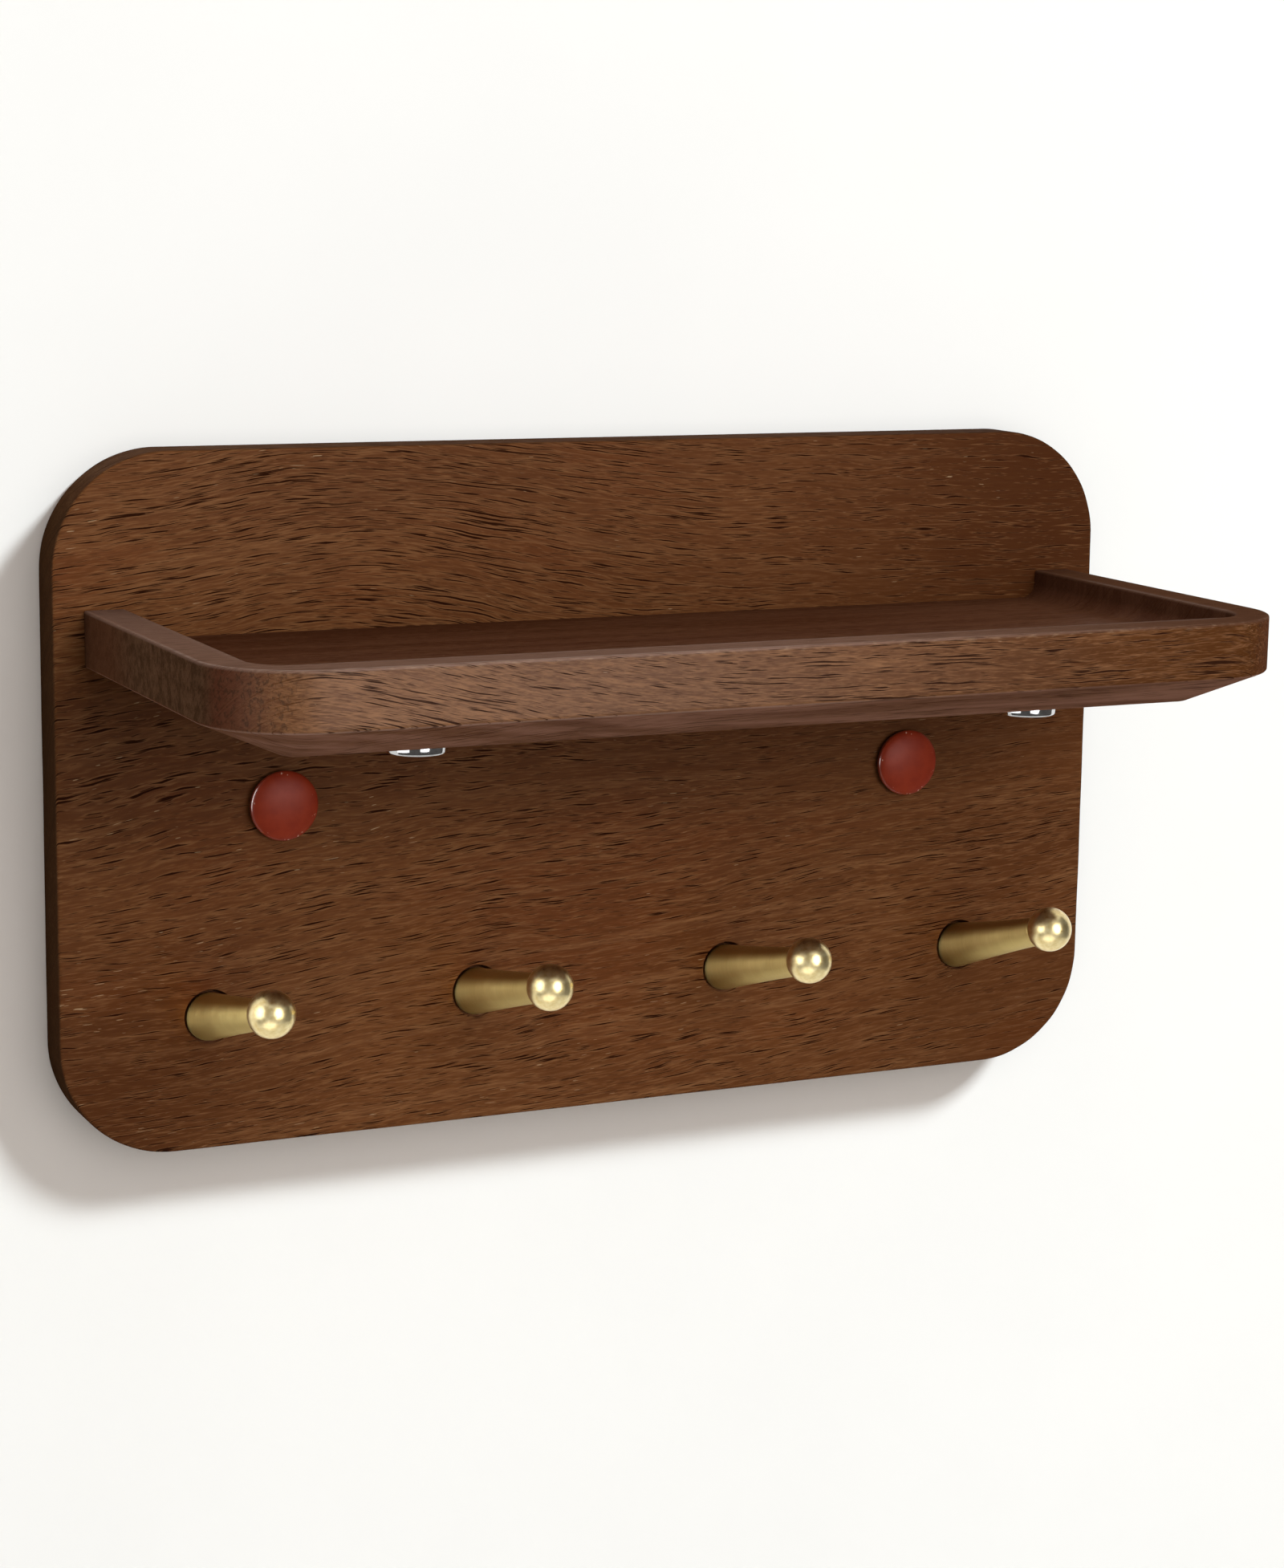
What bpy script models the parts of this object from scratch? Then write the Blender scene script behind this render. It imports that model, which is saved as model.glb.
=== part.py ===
"""Wall key holder: a rounded backboard with a lipped shelf tray, four tilted brass pegs, two push-in
screw caps and two cup magnets. Metres, +Z up. The back face lies on the wall at Y = 0 and the front
looks along -Y. The origin is the middle of the back face."""

import math

import bmesh
import bpy

# Backboard
BOARD_WIDTH = 0.300
BOARD_HEIGHT = 0.180
BOARD_THICKNESS = 0.0125
BOARD_CORNER = 0.030
BOARD_EASE = 0.0009

# Shelf tray
TRAY_SIDE_MARGIN = 0.008
TRAY_TOP_DROP = 0.039
TRAY_DEPTH = 0.113
TRAY_FACE = 0.014
TRAY_CHAMFER_RISE = 0.0088
TRAY_CHAMFER_RUN = 0.0205
TRAY_CORNER = 0.024
TRAY_WALL = 0.0105
TRAY_INNER_CORNER = 0.009
TRAY_FLOOR_DROP = 0.0075
TRAY_COVE = 0.004
TRAY_EASE = 0.0006

# Pegs: lengths run along the tilted axis from the board's front face. There is one tilt for each
# peg, left to right, and the last one points up more than the rest.
PEG_TILTS = tuple(math.radians(tilt) for tilt in (14.0, 14.0, 14.5, 17.0))
PEG_SIDE_MARGIN = 0.0395
PEG_BOTTOM_MARGIN = 0.035
PEG_SET_IN = 0.0006
PEG_NECK_WALL = 0.0016
PEG_BASE_STEP = 0.0023
PEG_EDGE = 0.0005
PEG_FLARE = 1.35
PEG_RECESS_CLEARANCE = 0.0007
BALL_REACH = 0.050
BALL_STEP = 0.0021

# Peg bolts
BOLT_RADIUS = 0.0020
BOLT_HEAD_RADIUS = 0.0035
BOLT_HEAD_HEIGHT = 0.0022
BOLT_SETBACK = 0.0006
BOLT_BITE = 0.0055

# Screw caps and the wall-screw holes under them
CAP_SIDE_MARGIN = 0.059
CAP_TOP_MARGIN = 0.091
CAP_RADIUS = 0.0091
CAP_FOOT_RADIUS = 0.0080
CAP_RIM = 0.0018
CAP_DOME = 0.0022
CAP_PLUG_RADIUS = 0.0047
CAP_PLUG_CHAMFER = 0.0006
WALL_SCREW_HOLE_RADIUS = 0.0026
WALL_SCREW_HEAD_ROOM = 0.0030
WALL_SCREW_WEB = 0.0040

# Cup magnets under the tray
MAGNET_SIDE_MARGIN = 0.0585
MAGNET_CHAMFER_MARGIN = 0.0173
MAGNET_RADIUS = 0.0074
MAGNET_SKIN = 0.0009
MAGNET_RING_HEIGHT = 0.0019
MAGNET_RING_LAND = 0.0002
MAGNET_LIP = 0.0003
MAGNET_EDGE = 0.0003
MAGNET_SCREW_RADIUS = 0.0015
MAGNET_SCREW_HEAD_RADIUS = 0.0029
MAGNET_SCREW_SUNK = 0.0003
MAGNET_SCREW_BITE = 0.010

# Screws and dowels between the board and the tray
SHELF_SCREW_SIDE_MARGIN = 0.037
SHELF_SCREW_RADIUS = 0.0020
SHELF_SCREW_HEAD_RADIUS = 0.0040
SHELF_SCREW_HEAD_HEIGHT = 0.0026
SHELF_SCREW_HEAD_LAND = 0.0004
SHELF_SCREW_SETBACK = 0.0006
SHELF_SCREW_BITE = 0.026
DOWEL_SIDE_MARGIN = 0.087
DOWEL_RADIUS = 0.0030
DOWEL_WEB = 0.0045
DOWEL_IN_TRAY = 0.015
DOWEL_CHAMFER = 0.0006

# Drive recesses in the screw heads
SOCKET_ACROSS = 0.0030
SOCKET_DEPTH = 0.0013
CROSS_ARM = 0.0015
CROSS_WIDTH = 0.0007
CROSS_DEPTH = 0.0008

# Clearances and mesh fineness
GAP = 0.0003
OVERCUT = 0.002
MERGE = 0.000001
CORNER_STEPS = 10
EASE_STEPS = 2
COVE_STEPS = 4
ROUND_STEPS = 28
SMALL_ROUND_STEPS = 16
BALL_STEPS = 8
LEAST_CORNER = 0.0005
SHARP_ANGLE = math.radians(35.0)

# Places that follow from the sizes above
TRAY_WIDTH = BOARD_WIDTH - 2 * TRAY_SIDE_MARGIN
TRAY_TOP = BOARD_HEIGHT / 2 - TRAY_TOP_DROP
TRAY_HEIGHT = TRAY_FACE + TRAY_CHAMFER_RISE
TRAY_FLOOR_THICKNESS = TRAY_HEIGHT - TRAY_FLOOR_DROP
TRAY_REAR = -BOARD_THICKNESS - GAP
JOINT_HEIGHT = TRAY_TOP - TRAY_HEIGHT + TRAY_FLOOR_THICKNESS / 2
PEG_SPACING = (BOARD_WIDTH - 2 * PEG_SIDE_MARGIN) / (len(PEG_TILTS) - 1)
PEG_NECK_RADIUS = BOLT_RADIUS + GAP + PEG_NECK_WALL
PEG_BASE_RADIUS = PEG_NECK_RADIUS + PEG_BASE_STEP
PEG_RECESS_RADIUS = PEG_BASE_RADIUS + PEG_RECESS_CLEARANCE
BALL_RADIUS = PEG_NECK_RADIUS + BALL_STEP
NECK_END = BALL_REACH - math.sqrt(BALL_RADIUS**2 - PEG_NECK_RADIUS**2)
CAP_BORE_DEPTH = BOARD_THICKNESS - WALL_SCREW_WEB
CAP_PLUG_LENGTH = CAP_BORE_DEPTH - WALL_SCREW_HEAD_ROOM
FACING_OUT = (math.pi / 2, 0.0, 0.0)
FACING_DOWN = (math.pi, 0.0, 0.0)
SIDES = {"left": -1, "right": 1}


def clear_scene():
    for old in list(bpy.data.objects):
        bpy.data.objects.remove(old, do_unlink=True)


def finish(name, colour, roughness, metallic=0.0):
    """A plain material with one colour, roughness and metallic value."""
    made = bpy.data.materials.new(name)
    made.use_nodes = True
    shader = made.node_tree.nodes["Principled BSDF"]
    shader.inputs["Base Color"].default_value = (*colour, 1.0)
    shader.inputs["Roughness"].default_value = roughness
    shader.inputs["Metallic"].default_value = metallic
    return made


def seat(name, location, rotation):
    """An empty that carries the pieces of one joint."""
    empty = bpy.data.objects.new(name, None)
    empty.empty_display_size = BOARD_THICKNESS
    empty.location = location
    empty.rotation_euler = rotation
    bpy.context.scene.collection.objects.link(empty)
    return empty


def placed(name, shape, parent, material):
    """Turns a bmesh into a named object on its seat. Without a material it is a cutter."""
    bmesh.ops.remove_doubles(shape, verts=shape.verts, dist=MERGE)
    bmesh.ops.recalc_face_normals(shape, faces=shape.faces)
    mesh = bpy.data.meshes.new(name)
    shape.to_mesh(mesh)
    shape.free()
    mesh.shade_smooth()
    mesh.set_sharp_from_angle(angle=SHARP_ANGLE)
    made = bpy.data.objects.new(name, mesh)
    made.parent = parent
    bpy.context.scene.collection.objects.link(made)
    if material:
        mesh.materials.append(material)
    else:
        made.hide_render = True
        made.display_type = "WIRE"
    return made


def turned(name, profile, parent, material=None, steps=ROUND_STEPS):
    """Spins (radius, height) points about local Z. A profile off the axis is closed into a ring."""
    shape = bmesh.new()
    points = [shape.verts.new((radius, 0.0, height)) for radius, height in profile]
    ends = list(zip(points, points[1:]))
    if profile[0][0] > 0:
        ends.append((points[-1], points[0]))
    edges = [shape.edges.new(pair) for pair in ends]
    bmesh.ops.spin(
        shape,
        geom=points + edges,
        cent=(0.0, 0.0, 0.0),
        axis=(0.0, 0.0, 1.0),
        angle=2 * math.pi,
        steps=steps,
        use_merge=True,
    )
    return placed(name, shape, parent, material)


def lofted(name, loops, parent, material=None):
    """Joins outlines of equal point count, bottom to top, and caps both ends."""
    shape = bmesh.new()
    rings = [[shape.verts.new(point) for point in loop] for loop in loops]
    for lower, upper in zip(rings, rings[1:]):
        for i in range(len(lower)):
            shape.faces.new((lower[i - 1], lower[i], upper[i], upper[i - 1]))
    shape.faces.new(reversed(rings[0]))
    shape.faces.new(rings[-1])
    return placed(name, shape, parent, material)


def cut(piece, cutter):
    """Takes the cutter's shape out of the piece."""
    boolean = piece.modifiers.new(cutter.name, "BOOLEAN")
    boolean.operation = "DIFFERENCE"
    boolean.solver = "EXACT"
    boolean.object = cutter


def arc(centre_x, centre_y, radius, first, last, steps):
    """Points on a circle from one angle to another, in degrees."""
    turns = [math.radians(first + (last - first) * i / steps) for i in range(steps + 1)]
    return [(centre_x + radius * math.cos(t), centre_y + radius * math.sin(t)) for t in turns]


def eased(radius, steps=EASE_STEPS):
    """(inset, drop) pairs of a quarter round, from the full outline to the top face."""
    turns = [math.pi / 2 * i / steps for i in range(steps + 1)]
    return [(radius * (1 - math.cos(t)), radius * (1 - math.sin(t))) for t in turns]


def board_loop(inset, height):
    """The board's rounded rectangle, drawn in by inset."""
    half_width = BOARD_WIDTH / 2 - inset
    half_height = BOARD_HEIGHT / 2 - inset
    radius = max(BOARD_CORNER - inset, LEAST_CORNER)
    loop = []
    for quarter, (x, y) in enumerate(((1, 1), (-1, 1), (-1, -1), (1, -1))):
        centre_x = x * (half_width - radius)
        centre_y = y * (half_height - radius)
        loop += arc(centre_x, centre_y, radius, 90 * quarter, 90 * quarter + 90, CORNER_STEPS)
    return [(x, y, height) for x, y in loop]


def tray_loop(half_width, depth, corner, rear, height):
    """The tray's outline: square at the rear, rounded at the two front corners."""
    radius = max(corner, LEAST_CORNER)
    loop = [(half_width, rear), (-half_width, rear)]
    loop += arc(-half_width + radius, -depth + radius, radius, 180, 270, CORNER_STEPS)
    loop += arc(half_width - radius, -depth + radius, radius, 270, 360, CORNER_STEPS)
    return [(x, y, height) for x, y in loop]


def polygon_loop(sides, across, height):
    """A regular polygon, across flats."""
    radius = across / 2 / math.cos(math.pi / sides)
    turns = [2 * math.pi * i / sides for i in range(sides)]
    return [(radius * math.cos(t), radius * math.sin(t), height) for t in turns]


def cross_loop(arm, width, height):
    """A plus sign for a cross recess."""
    half = width / 2
    quarter = [(arm, -half), (arm, half), (half, half)]
    loop = []
    for turn in range(4):
        cosine = round(math.cos(turn * math.pi / 2))
        sine = round(math.sin(turn * math.pi / 2))
        loop += [(x * cosine - y * sine, x * sine + y * cosine, height) for x, y in quarter]
    return loop


def make_board(material):
    """The backboard, lying in its seat with local Z running out of the wall."""
    on_wall = seat("wall_plane", (0.0, 0.0, 0.0), FACING_OUT)
    ease = eased(BOARD_EASE)
    loops = [board_loop(inset, drop) for inset, drop in reversed(ease)]
    loops += [board_loop(inset, BOARD_THICKNESS - drop) for inset, drop in ease]
    return lofted("backboard", loops, on_wall, material)


def make_tray(material):
    """The routed tray: chamfered below, lipped on three sides, open at the rear."""
    on_board = seat("tray_joint", (0.0, TRAY_REAR, TRAY_TOP), (0.0, 0.0, 0.0))
    half = TRAY_WIDTH / 2

    def outer(inset, height):
        return tray_loop(half - inset, TRAY_DEPTH - inset, TRAY_CORNER - inset, 0.0, height)

    def inner(inset, height):
        wall = TRAY_WALL + inset
        return tray_loop(half - wall, TRAY_DEPTH - wall, TRAY_INNER_CORNER - inset, OVERCUT, height)

    loops = [outer(TRAY_CHAMFER_RUN, -TRAY_HEIGHT)]
    loops += [outer(0.0, -TRAY_FACE)]
    loops += [outer(inset, -drop) for inset, drop in eased(TRAY_EASE)]
    tray = lofted("shelf_tray", loops, on_board, material)
    cove = reversed(eased(TRAY_COVE, COVE_STEPS))
    hollow = [inner(inset, rise - TRAY_FLOOR_DROP) for inset, rise in cove]
    hollow += [inner(0.0, -TRAY_EASE), inner(-TRAY_EASE, 0.0), inner(-TRAY_EASE, OVERCUT)]
    cut(tray, lofted("tray_hollow_cutter", hollow, on_board))
    return tray


def shank_profile(recess_floor):
    """The sleeve's half section: bored through, flared at the foot, slim at the neck."""
    bore = BOLT_RADIUS + GAP
    foot = recess_floor + GAP
    top = NECK_END - GAP
    flare = []
    for share in (0.0, 0.12, 0.3, 0.6, 1.0):
        slim = (1 - share) ** PEG_FLARE
        radius = PEG_NECK_RADIUS + (PEG_BASE_RADIUS - PEG_NECK_RADIUS) * slim
        flare.append((radius, share * (top - PEG_EDGE)))
    return [
        (bore, foot),
        (PEG_BASE_RADIUS - PEG_EDGE, foot),
        (PEG_BASE_RADIUS, foot + PEG_EDGE),
        *flare,
        (PEG_NECK_RADIUS - PEG_EDGE, top),
        (bore, top),
    ]


def ball_profile():
    """The ball nut's half section: flat on the neck, with a blind hole for the bolt."""
    hole = BOLT_RADIUS + GAP
    flat = math.asin((NECK_END - BALL_REACH) / BALL_RADIUS)
    turns = [flat + (math.pi / 2 - flat) * i / BALL_STEPS for i in range(BALL_STEPS)]
    sphere = [(BALL_RADIUS * math.cos(t), BALL_REACH + BALL_RADIUS * math.sin(t)) for t in turns]
    hole_end = NECK_END + BOLT_BITE + GAP
    return [
        (0.0, hole_end),
        (hole, hole_end),
        (hole, NECK_END),
        *sphere,
        (0.0, BALL_REACH + BALL_RADIUS),
    ]


def make_peg(number, tilt, board, shank_material, ball_material, bolt_material):
    """One peg: a bolt from the back draws the ball nut and the shank into a tilted recess."""
    across = (number - 1) * PEG_SPACING - BOARD_WIDTH / 2 + PEG_SIDE_MARGIN
    place = (across, -BOARD_THICKNESS, PEG_BOTTOM_MARGIN - BOARD_HEIGHT / 2)
    on_board = seat(f"peg_{number}_axis", place, (math.pi / 2 - tilt, 0.0, 0.0))
    slope = math.tan(tilt)
    recess_floor = -PEG_RECESS_RADIUS * slope - PEG_SET_IN
    turned(f"peg_shank_{number}", shank_profile(recess_floor), on_board, shank_material)
    turned(f"peg_ball_{number}", ball_profile(), on_board, ball_material)

    back = -BOARD_THICKNESS / math.cos(tilt)
    head = back + BOLT_HEAD_RADIUS * slope + BOLT_SETBACK
    seat_height = head + BOLT_HEAD_HEIGHT
    tip = NECK_END + BOLT_BITE
    profile = [
        (0.0, head),
        (BOLT_HEAD_RADIUS, head),
        (BOLT_HEAD_RADIUS, seat_height),
        (BOLT_RADIUS, seat_height),
        (BOLT_RADIUS, tip),
        (0.0, tip),
    ]
    bolt = turned(f"peg_bolt_{number}", profile, on_board, bolt_material, SMALL_ROUND_STEPS)
    socket = [polygon_loop(6, SOCKET_ACROSS, h) for h in (head - OVERCUT, head + SOCKET_DEPTH)]
    cut(bolt, lofted(f"peg_socket_{number}_cutter", socket, on_board))

    wide = BOLT_HEAD_RADIUS + GAP
    slim = BOLT_RADIUS + GAP
    head_bottom = back - wide * slope - OVERCUT
    recess_top = PEG_RECESS_RADIUS * slope + OVERCUT
    hole = [
        (0.0, head_bottom),
        (wide, head_bottom),
        (wide, seat_height + GAP),
        (slim, seat_height + GAP),
        (slim, recess_floor),
        (PEG_RECESS_RADIUS, recess_floor),
        (PEG_RECESS_RADIUS, recess_top),
        (0.0, recess_top),
    ]
    cut(board, turned(f"peg_hole_{number}_cutter", hole, on_board))


def cap_profile():
    """The cap's half section: a plug, an undercut edge up to the widest line, and a low dome."""
    widest = GAP + CAP_RIM
    bulge = CAP_RADIUS - CAP_FOOT_RADIUS
    profile = [
        (0.0, -CAP_PLUG_LENGTH),
        (CAP_PLUG_RADIUS - CAP_PLUG_CHAMFER, -CAP_PLUG_LENGTH),
        (CAP_PLUG_RADIUS, -CAP_PLUG_LENGTH + CAP_PLUG_CHAMFER),
        (CAP_PLUG_RADIUS, GAP),
    ]
    for turn in (0.0, 30.0, 60.0, 90.0):
        radius = CAP_FOOT_RADIUS + bulge * math.sin(math.radians(turn))
        profile.append((radius, widest - CAP_RIM * math.cos(math.radians(turn))))
    for turn in (20.0, 38.0, 55.0, 72.0):
        radius = CAP_RADIUS * math.cos(math.radians(turn))
        profile.append((radius, widest + CAP_DOME * math.sin(math.radians(turn))))
    return profile + [(0.0, widest + CAP_DOME)]


def make_cap(side, board, material):
    """A push-in cap on its own axis, and the stepped wall-screw hole that it closes."""
    across = SIDES[side] * (BOARD_WIDTH / 2 - CAP_SIDE_MARGIN)
    place = (across, -BOARD_THICKNESS, BOARD_HEIGHT / 2 - CAP_TOP_MARGIN)
    cap = turned(f"screw_cap_{side}", cap_profile(), None, material)
    cap.location = place
    cap.rotation_euler = FACING_OUT
    behind = -BOARD_THICKNESS - OVERCUT
    bore = CAP_PLUG_RADIUS + GAP
    hole = [
        (0.0, behind),
        (WALL_SCREW_HOLE_RADIUS, behind),
        (WALL_SCREW_HOLE_RADIUS, -CAP_BORE_DEPTH),
        (bore, -CAP_BORE_DEPTH),
        (bore, OVERCUT),
        (0.0, OVERCUT),
    ]
    on_board = seat(f"wall_screw_{side}_axis", place, FACING_OUT)
    cut(board, turned(f"wall_screw_hole_{side}_cutter", hole, on_board))


def make_magnet(side, tray, cup_material, ring_material, screw_material):
    """A steel cup with a ring magnet inside, screwed to the tray's flat underside."""
    across = SIDES[side] * (TRAY_WIDTH / 2 - MAGNET_SIDE_MARGIN)
    forward = TRAY_REAR - TRAY_DEPTH + TRAY_CHAMFER_RUN + MAGNET_CHAMFER_MARGIN
    under = seat(f"magnet_{side}_axis", (across, forward, TRAY_TOP - TRAY_HEIGHT), FACING_DOWN)
    hole = MAGNET_SCREW_RADIUS + GAP
    inside = MAGNET_RADIUS - MAGNET_SKIN
    cup_top = GAP
    cup_floor = cup_top + MAGNET_SKIN
    ring_top = cup_floor + GAP
    ring_bottom = ring_top + MAGNET_RING_HEIGHT
    cup_bottom = ring_bottom + MAGNET_LIP
    cup = [
        (hole, cup_top),
        (MAGNET_RADIUS, cup_top),
        (MAGNET_RADIUS, cup_bottom - MAGNET_EDGE),
        (MAGNET_RADIUS - MAGNET_EDGE, cup_bottom),
        (inside, cup_bottom),
        (inside, cup_floor),
        (hole, cup_floor),
    ]
    turned(f"magnet_cup_{side}", cup, under, cup_material)

    head = ring_bottom - MAGNET_SCREW_SUNK
    neck = ring_top + MAGNET_RING_LAND
    ring = [
        (hole, ring_top),
        (inside - GAP, ring_top),
        (inside - GAP, ring_bottom),
        (MAGNET_SCREW_HEAD_RADIUS + GAP, ring_bottom),
        (MAGNET_SCREW_HEAD_RADIUS + GAP, head),
        (hole, neck),
    ]
    turned(f"magnet_ring_{side}", ring, under, ring_material)

    tip = -MAGNET_SCREW_BITE
    screw_profile = [
        (0.0, tip),
        (MAGNET_SCREW_RADIUS, tip + 2 * MAGNET_SCREW_RADIUS),
        (MAGNET_SCREW_RADIUS, neck),
        (MAGNET_SCREW_HEAD_RADIUS, head),
        (0.0, head),
    ]
    screw = turned(f"magnet_screw_{side}", screw_profile, under, screw_material, SMALL_ROUND_STEPS)
    recess = [cross_loop(CROSS_ARM, CROSS_WIDTH, h) for h in (head - CROSS_DEPTH, head + OVERCUT)]
    cut(screw, lofted(f"magnet_cross_{side}_cutter", recess, under))
    pilot = [(0.0, tip - GAP), (hole, tip - GAP), (hole, OVERCUT), (0.0, OVERCUT)]
    cut(tray, turned(f"magnet_pilot_{side}_cutter", pilot, under, steps=SMALL_ROUND_STEPS))


def make_shelf_screw(place, across, board, tray, material):
    """A countersunk screw from the board's back into the tray's rear edge."""
    length = BOARD_THICKNESS + GAP + SHELF_SCREW_BITE - SHELF_SCREW_SETBACK
    spot = (across, -SHELF_SCREW_SETBACK, JOINT_HEIGHT)
    through = seat(f"shelf_screw_{place}_axis", spot, FACING_OUT)
    profile = [
        (0.0, 0.0),
        (SHELF_SCREW_HEAD_RADIUS, 0.0),
        (SHELF_SCREW_HEAD_RADIUS, SHELF_SCREW_HEAD_LAND),
        (SHELF_SCREW_RADIUS, SHELF_SCREW_HEAD_HEIGHT),
        (SHELF_SCREW_RADIUS, length - 2 * SHELF_SCREW_RADIUS),
        (0.0, length),
    ]
    screw = turned(f"shelf_screw_{place}", profile, through, material, SMALL_ROUND_STEPS)
    recess = [cross_loop(CROSS_ARM, CROSS_WIDTH, h) for h in (-OVERCUT, CROSS_DEPTH)]
    cut(screw, lofted(f"shelf_cross_{place}_cutter", recess, through))

    behind = -SHELF_SCREW_SETBACK - OVERCUT
    wide = SHELF_SCREW_HEAD_RADIUS + GAP
    slim = SHELF_SCREW_RADIUS + GAP
    clearance = [
        (0.0, behind),
        (wide, behind),
        (wide, SHELF_SCREW_HEAD_LAND + GAP),
        (slim, SHELF_SCREW_HEAD_HEIGHT + GAP),
        (slim, length + GAP),
        (0.0, length + GAP),
    ]
    hole = turned(f"shelf_screw_hole_{place}_cutter", clearance, through, steps=SMALL_ROUND_STEPS)
    cut(board, hole)
    cut(tray, hole)


def make_dowel(side, board, tray, material):
    """A dowel half in the board and half in the tray."""
    across = SIDES[side] * (TRAY_WIDTH / 2 - DOWEL_SIDE_MARGIN)
    between = seat(f"dowel_{side}_axis", (across, -BOARD_THICKNESS, JOINT_HEIGHT), FACING_OUT)
    back = DOWEL_WEB - BOARD_THICKNESS
    front = GAP + DOWEL_IN_TRAY
    slim = DOWEL_RADIUS - DOWEL_CHAMFER
    profile = [
        (0.0, back),
        (slim, back),
        (DOWEL_RADIUS, back + DOWEL_CHAMFER),
        (DOWEL_RADIUS, front - DOWEL_CHAMFER),
        (slim, front),
        (0.0, front),
    ]
    turned(f"shelf_dowel_{side}", profile, between, material, SMALL_ROUND_STEPS)
    wide = DOWEL_RADIUS + GAP
    bore = [(0.0, back - GAP), (wide, back - GAP), (wide, front + GAP), (0.0, front + GAP)]
    hole = turned(f"dowel_hole_{side}_cutter", bore, between, steps=SMALL_ROUND_STEPS)
    cut(board, hole)
    cut(tray, hole)


def main():
    clear_scene()
    board_wood = finish("board_wood", (0.105, 0.046, 0.020), 0.55)
    tray_wood = finish("tray_wood", (0.125, 0.062, 0.033), 0.60)
    dowel_wood = finish("dowel_wood", (0.55, 0.38, 0.22), 0.70)
    brushed_brass = finish("brushed_brass", (0.52, 0.37, 0.15), 0.38, 1.0)
    polished_brass = finish("polished_brass", (0.72, 0.54, 0.24), 0.16, 1.0)
    red_cap = finish("red_cap", (0.215, 0.036, 0.022), 0.42)
    chrome = finish("chrome", (0.70, 0.70, 0.71), 0.08, 1.0)
    nickel = finish("nickel", (0.55, 0.53, 0.50), 0.25, 1.0)
    steel = finish("steel", (0.45, 0.45, 0.46), 0.35, 1.0)

    board = make_board(board_wood)
    tray = make_tray(tray_wood)
    for number, tilt in enumerate(PEG_TILTS, start=1):
        make_peg(number, tilt, board, brushed_brass, polished_brass, steel)
    for side in SIDES:
        make_cap(side, board, red_cap)
        make_magnet(side, tray, chrome, nickel, steel)
        make_dowel(side, board, tray, dowel_wood)
    outer = TRAY_WIDTH / 2 - SHELF_SCREW_SIDE_MARGIN
    for place, across in (("left", -outer), ("middle", 0.0), ("right", outer)):
        make_shelf_screw(place, across, board, tray, steel)


main()
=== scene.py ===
import math
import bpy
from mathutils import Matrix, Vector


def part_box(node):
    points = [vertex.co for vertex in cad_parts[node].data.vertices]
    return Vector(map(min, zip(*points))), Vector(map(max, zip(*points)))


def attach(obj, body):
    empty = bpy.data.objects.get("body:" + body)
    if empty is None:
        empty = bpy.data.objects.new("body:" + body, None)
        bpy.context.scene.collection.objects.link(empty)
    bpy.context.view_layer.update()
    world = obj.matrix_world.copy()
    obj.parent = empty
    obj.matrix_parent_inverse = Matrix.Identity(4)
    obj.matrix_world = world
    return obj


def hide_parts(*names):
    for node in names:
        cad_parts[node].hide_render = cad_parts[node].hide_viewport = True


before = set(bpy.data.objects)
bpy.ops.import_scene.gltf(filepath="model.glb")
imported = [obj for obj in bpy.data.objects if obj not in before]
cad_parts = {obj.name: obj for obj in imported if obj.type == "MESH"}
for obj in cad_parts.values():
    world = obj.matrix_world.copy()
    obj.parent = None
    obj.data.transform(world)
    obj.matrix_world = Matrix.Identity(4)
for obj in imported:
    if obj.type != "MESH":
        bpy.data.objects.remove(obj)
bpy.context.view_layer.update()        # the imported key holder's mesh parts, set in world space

from types import SimpleNamespace

import bpy
import numpy as np
from mathutils import Matrix, Vector

print("frame: loaded", len(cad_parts), "nodes")
sameSpot = 1e-8        # metres, below which two points are one


# Surfaces as numpy grids

def softProfile(corners, steps=4):
    # straight runs between (a, b, size) corners; each corner is cut back by its size on both sides and
    # bridged by (1-t)^2 p + 2t(1-t) corner + t^2 q, where p and q are the two cuts
    corners = np.array(corners, float)
    spots, sizes = corners[:, :2], corners[:, 2:]
    ahead = np.diff(spots, axis=0)
    ahead /= np.maximum(np.linalg.norm(ahead, axis=1, keepdims=True), sameSpot)
    still = np.zeros((1, 2))
    cutBefore = spots - np.vstack([still, ahead]) * sizes
    cutAfter = spots + np.vstack([ahead, still]) * sizes
    t = np.linspace(0, 1, steps + 1)[None, :, None]
    before, corner, after = cutBefore[:, None], spots[:, None], cutAfter[:, None]
    bridged = (1 - t) ** 2 * before + 2 * t * (1 - t) * corner + t ** 2 * after
    chain = bridged.reshape(-1, 2)
    moved = np.linalg.norm(np.diff(chain, axis=0), axis=1) > sameSpot
    return chain[np.concatenate([[True], moved])]


def quarterTurn(steps):
    return np.radians(np.linspace(0, 90, steps + 1))


def turnedRings(profile, steps):
    # a (radius, height) profile turned about Z: (r cos u, r sin u, h)
    u = np.linspace(0, 2 * math.pi, steps, endpoint=False)[None, :]
    r, h = np.asarray(profile, float).T[:, :, None]
    return np.stack([r * np.cos(u), r * np.sin(u), h + 0 * u], axis=-1)


def placedRings(rings, spot, tilt=0.0, down=False):
    # local Z becomes the outward axis (0, -cos tilt, sin tilt), or straight down, and the origin becomes spot
    cosine, sine = math.cos(tilt), math.sin(tilt)
    outward = np.array([(1, 0, 0), (0, sine, cosine), (0, -cosine, sine)])
    under = np.array([(1, 0, 0), (0, -1, 0), (0, 0, -1)])
    return rings @ (under if down else outward) + np.array(spot)


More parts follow.
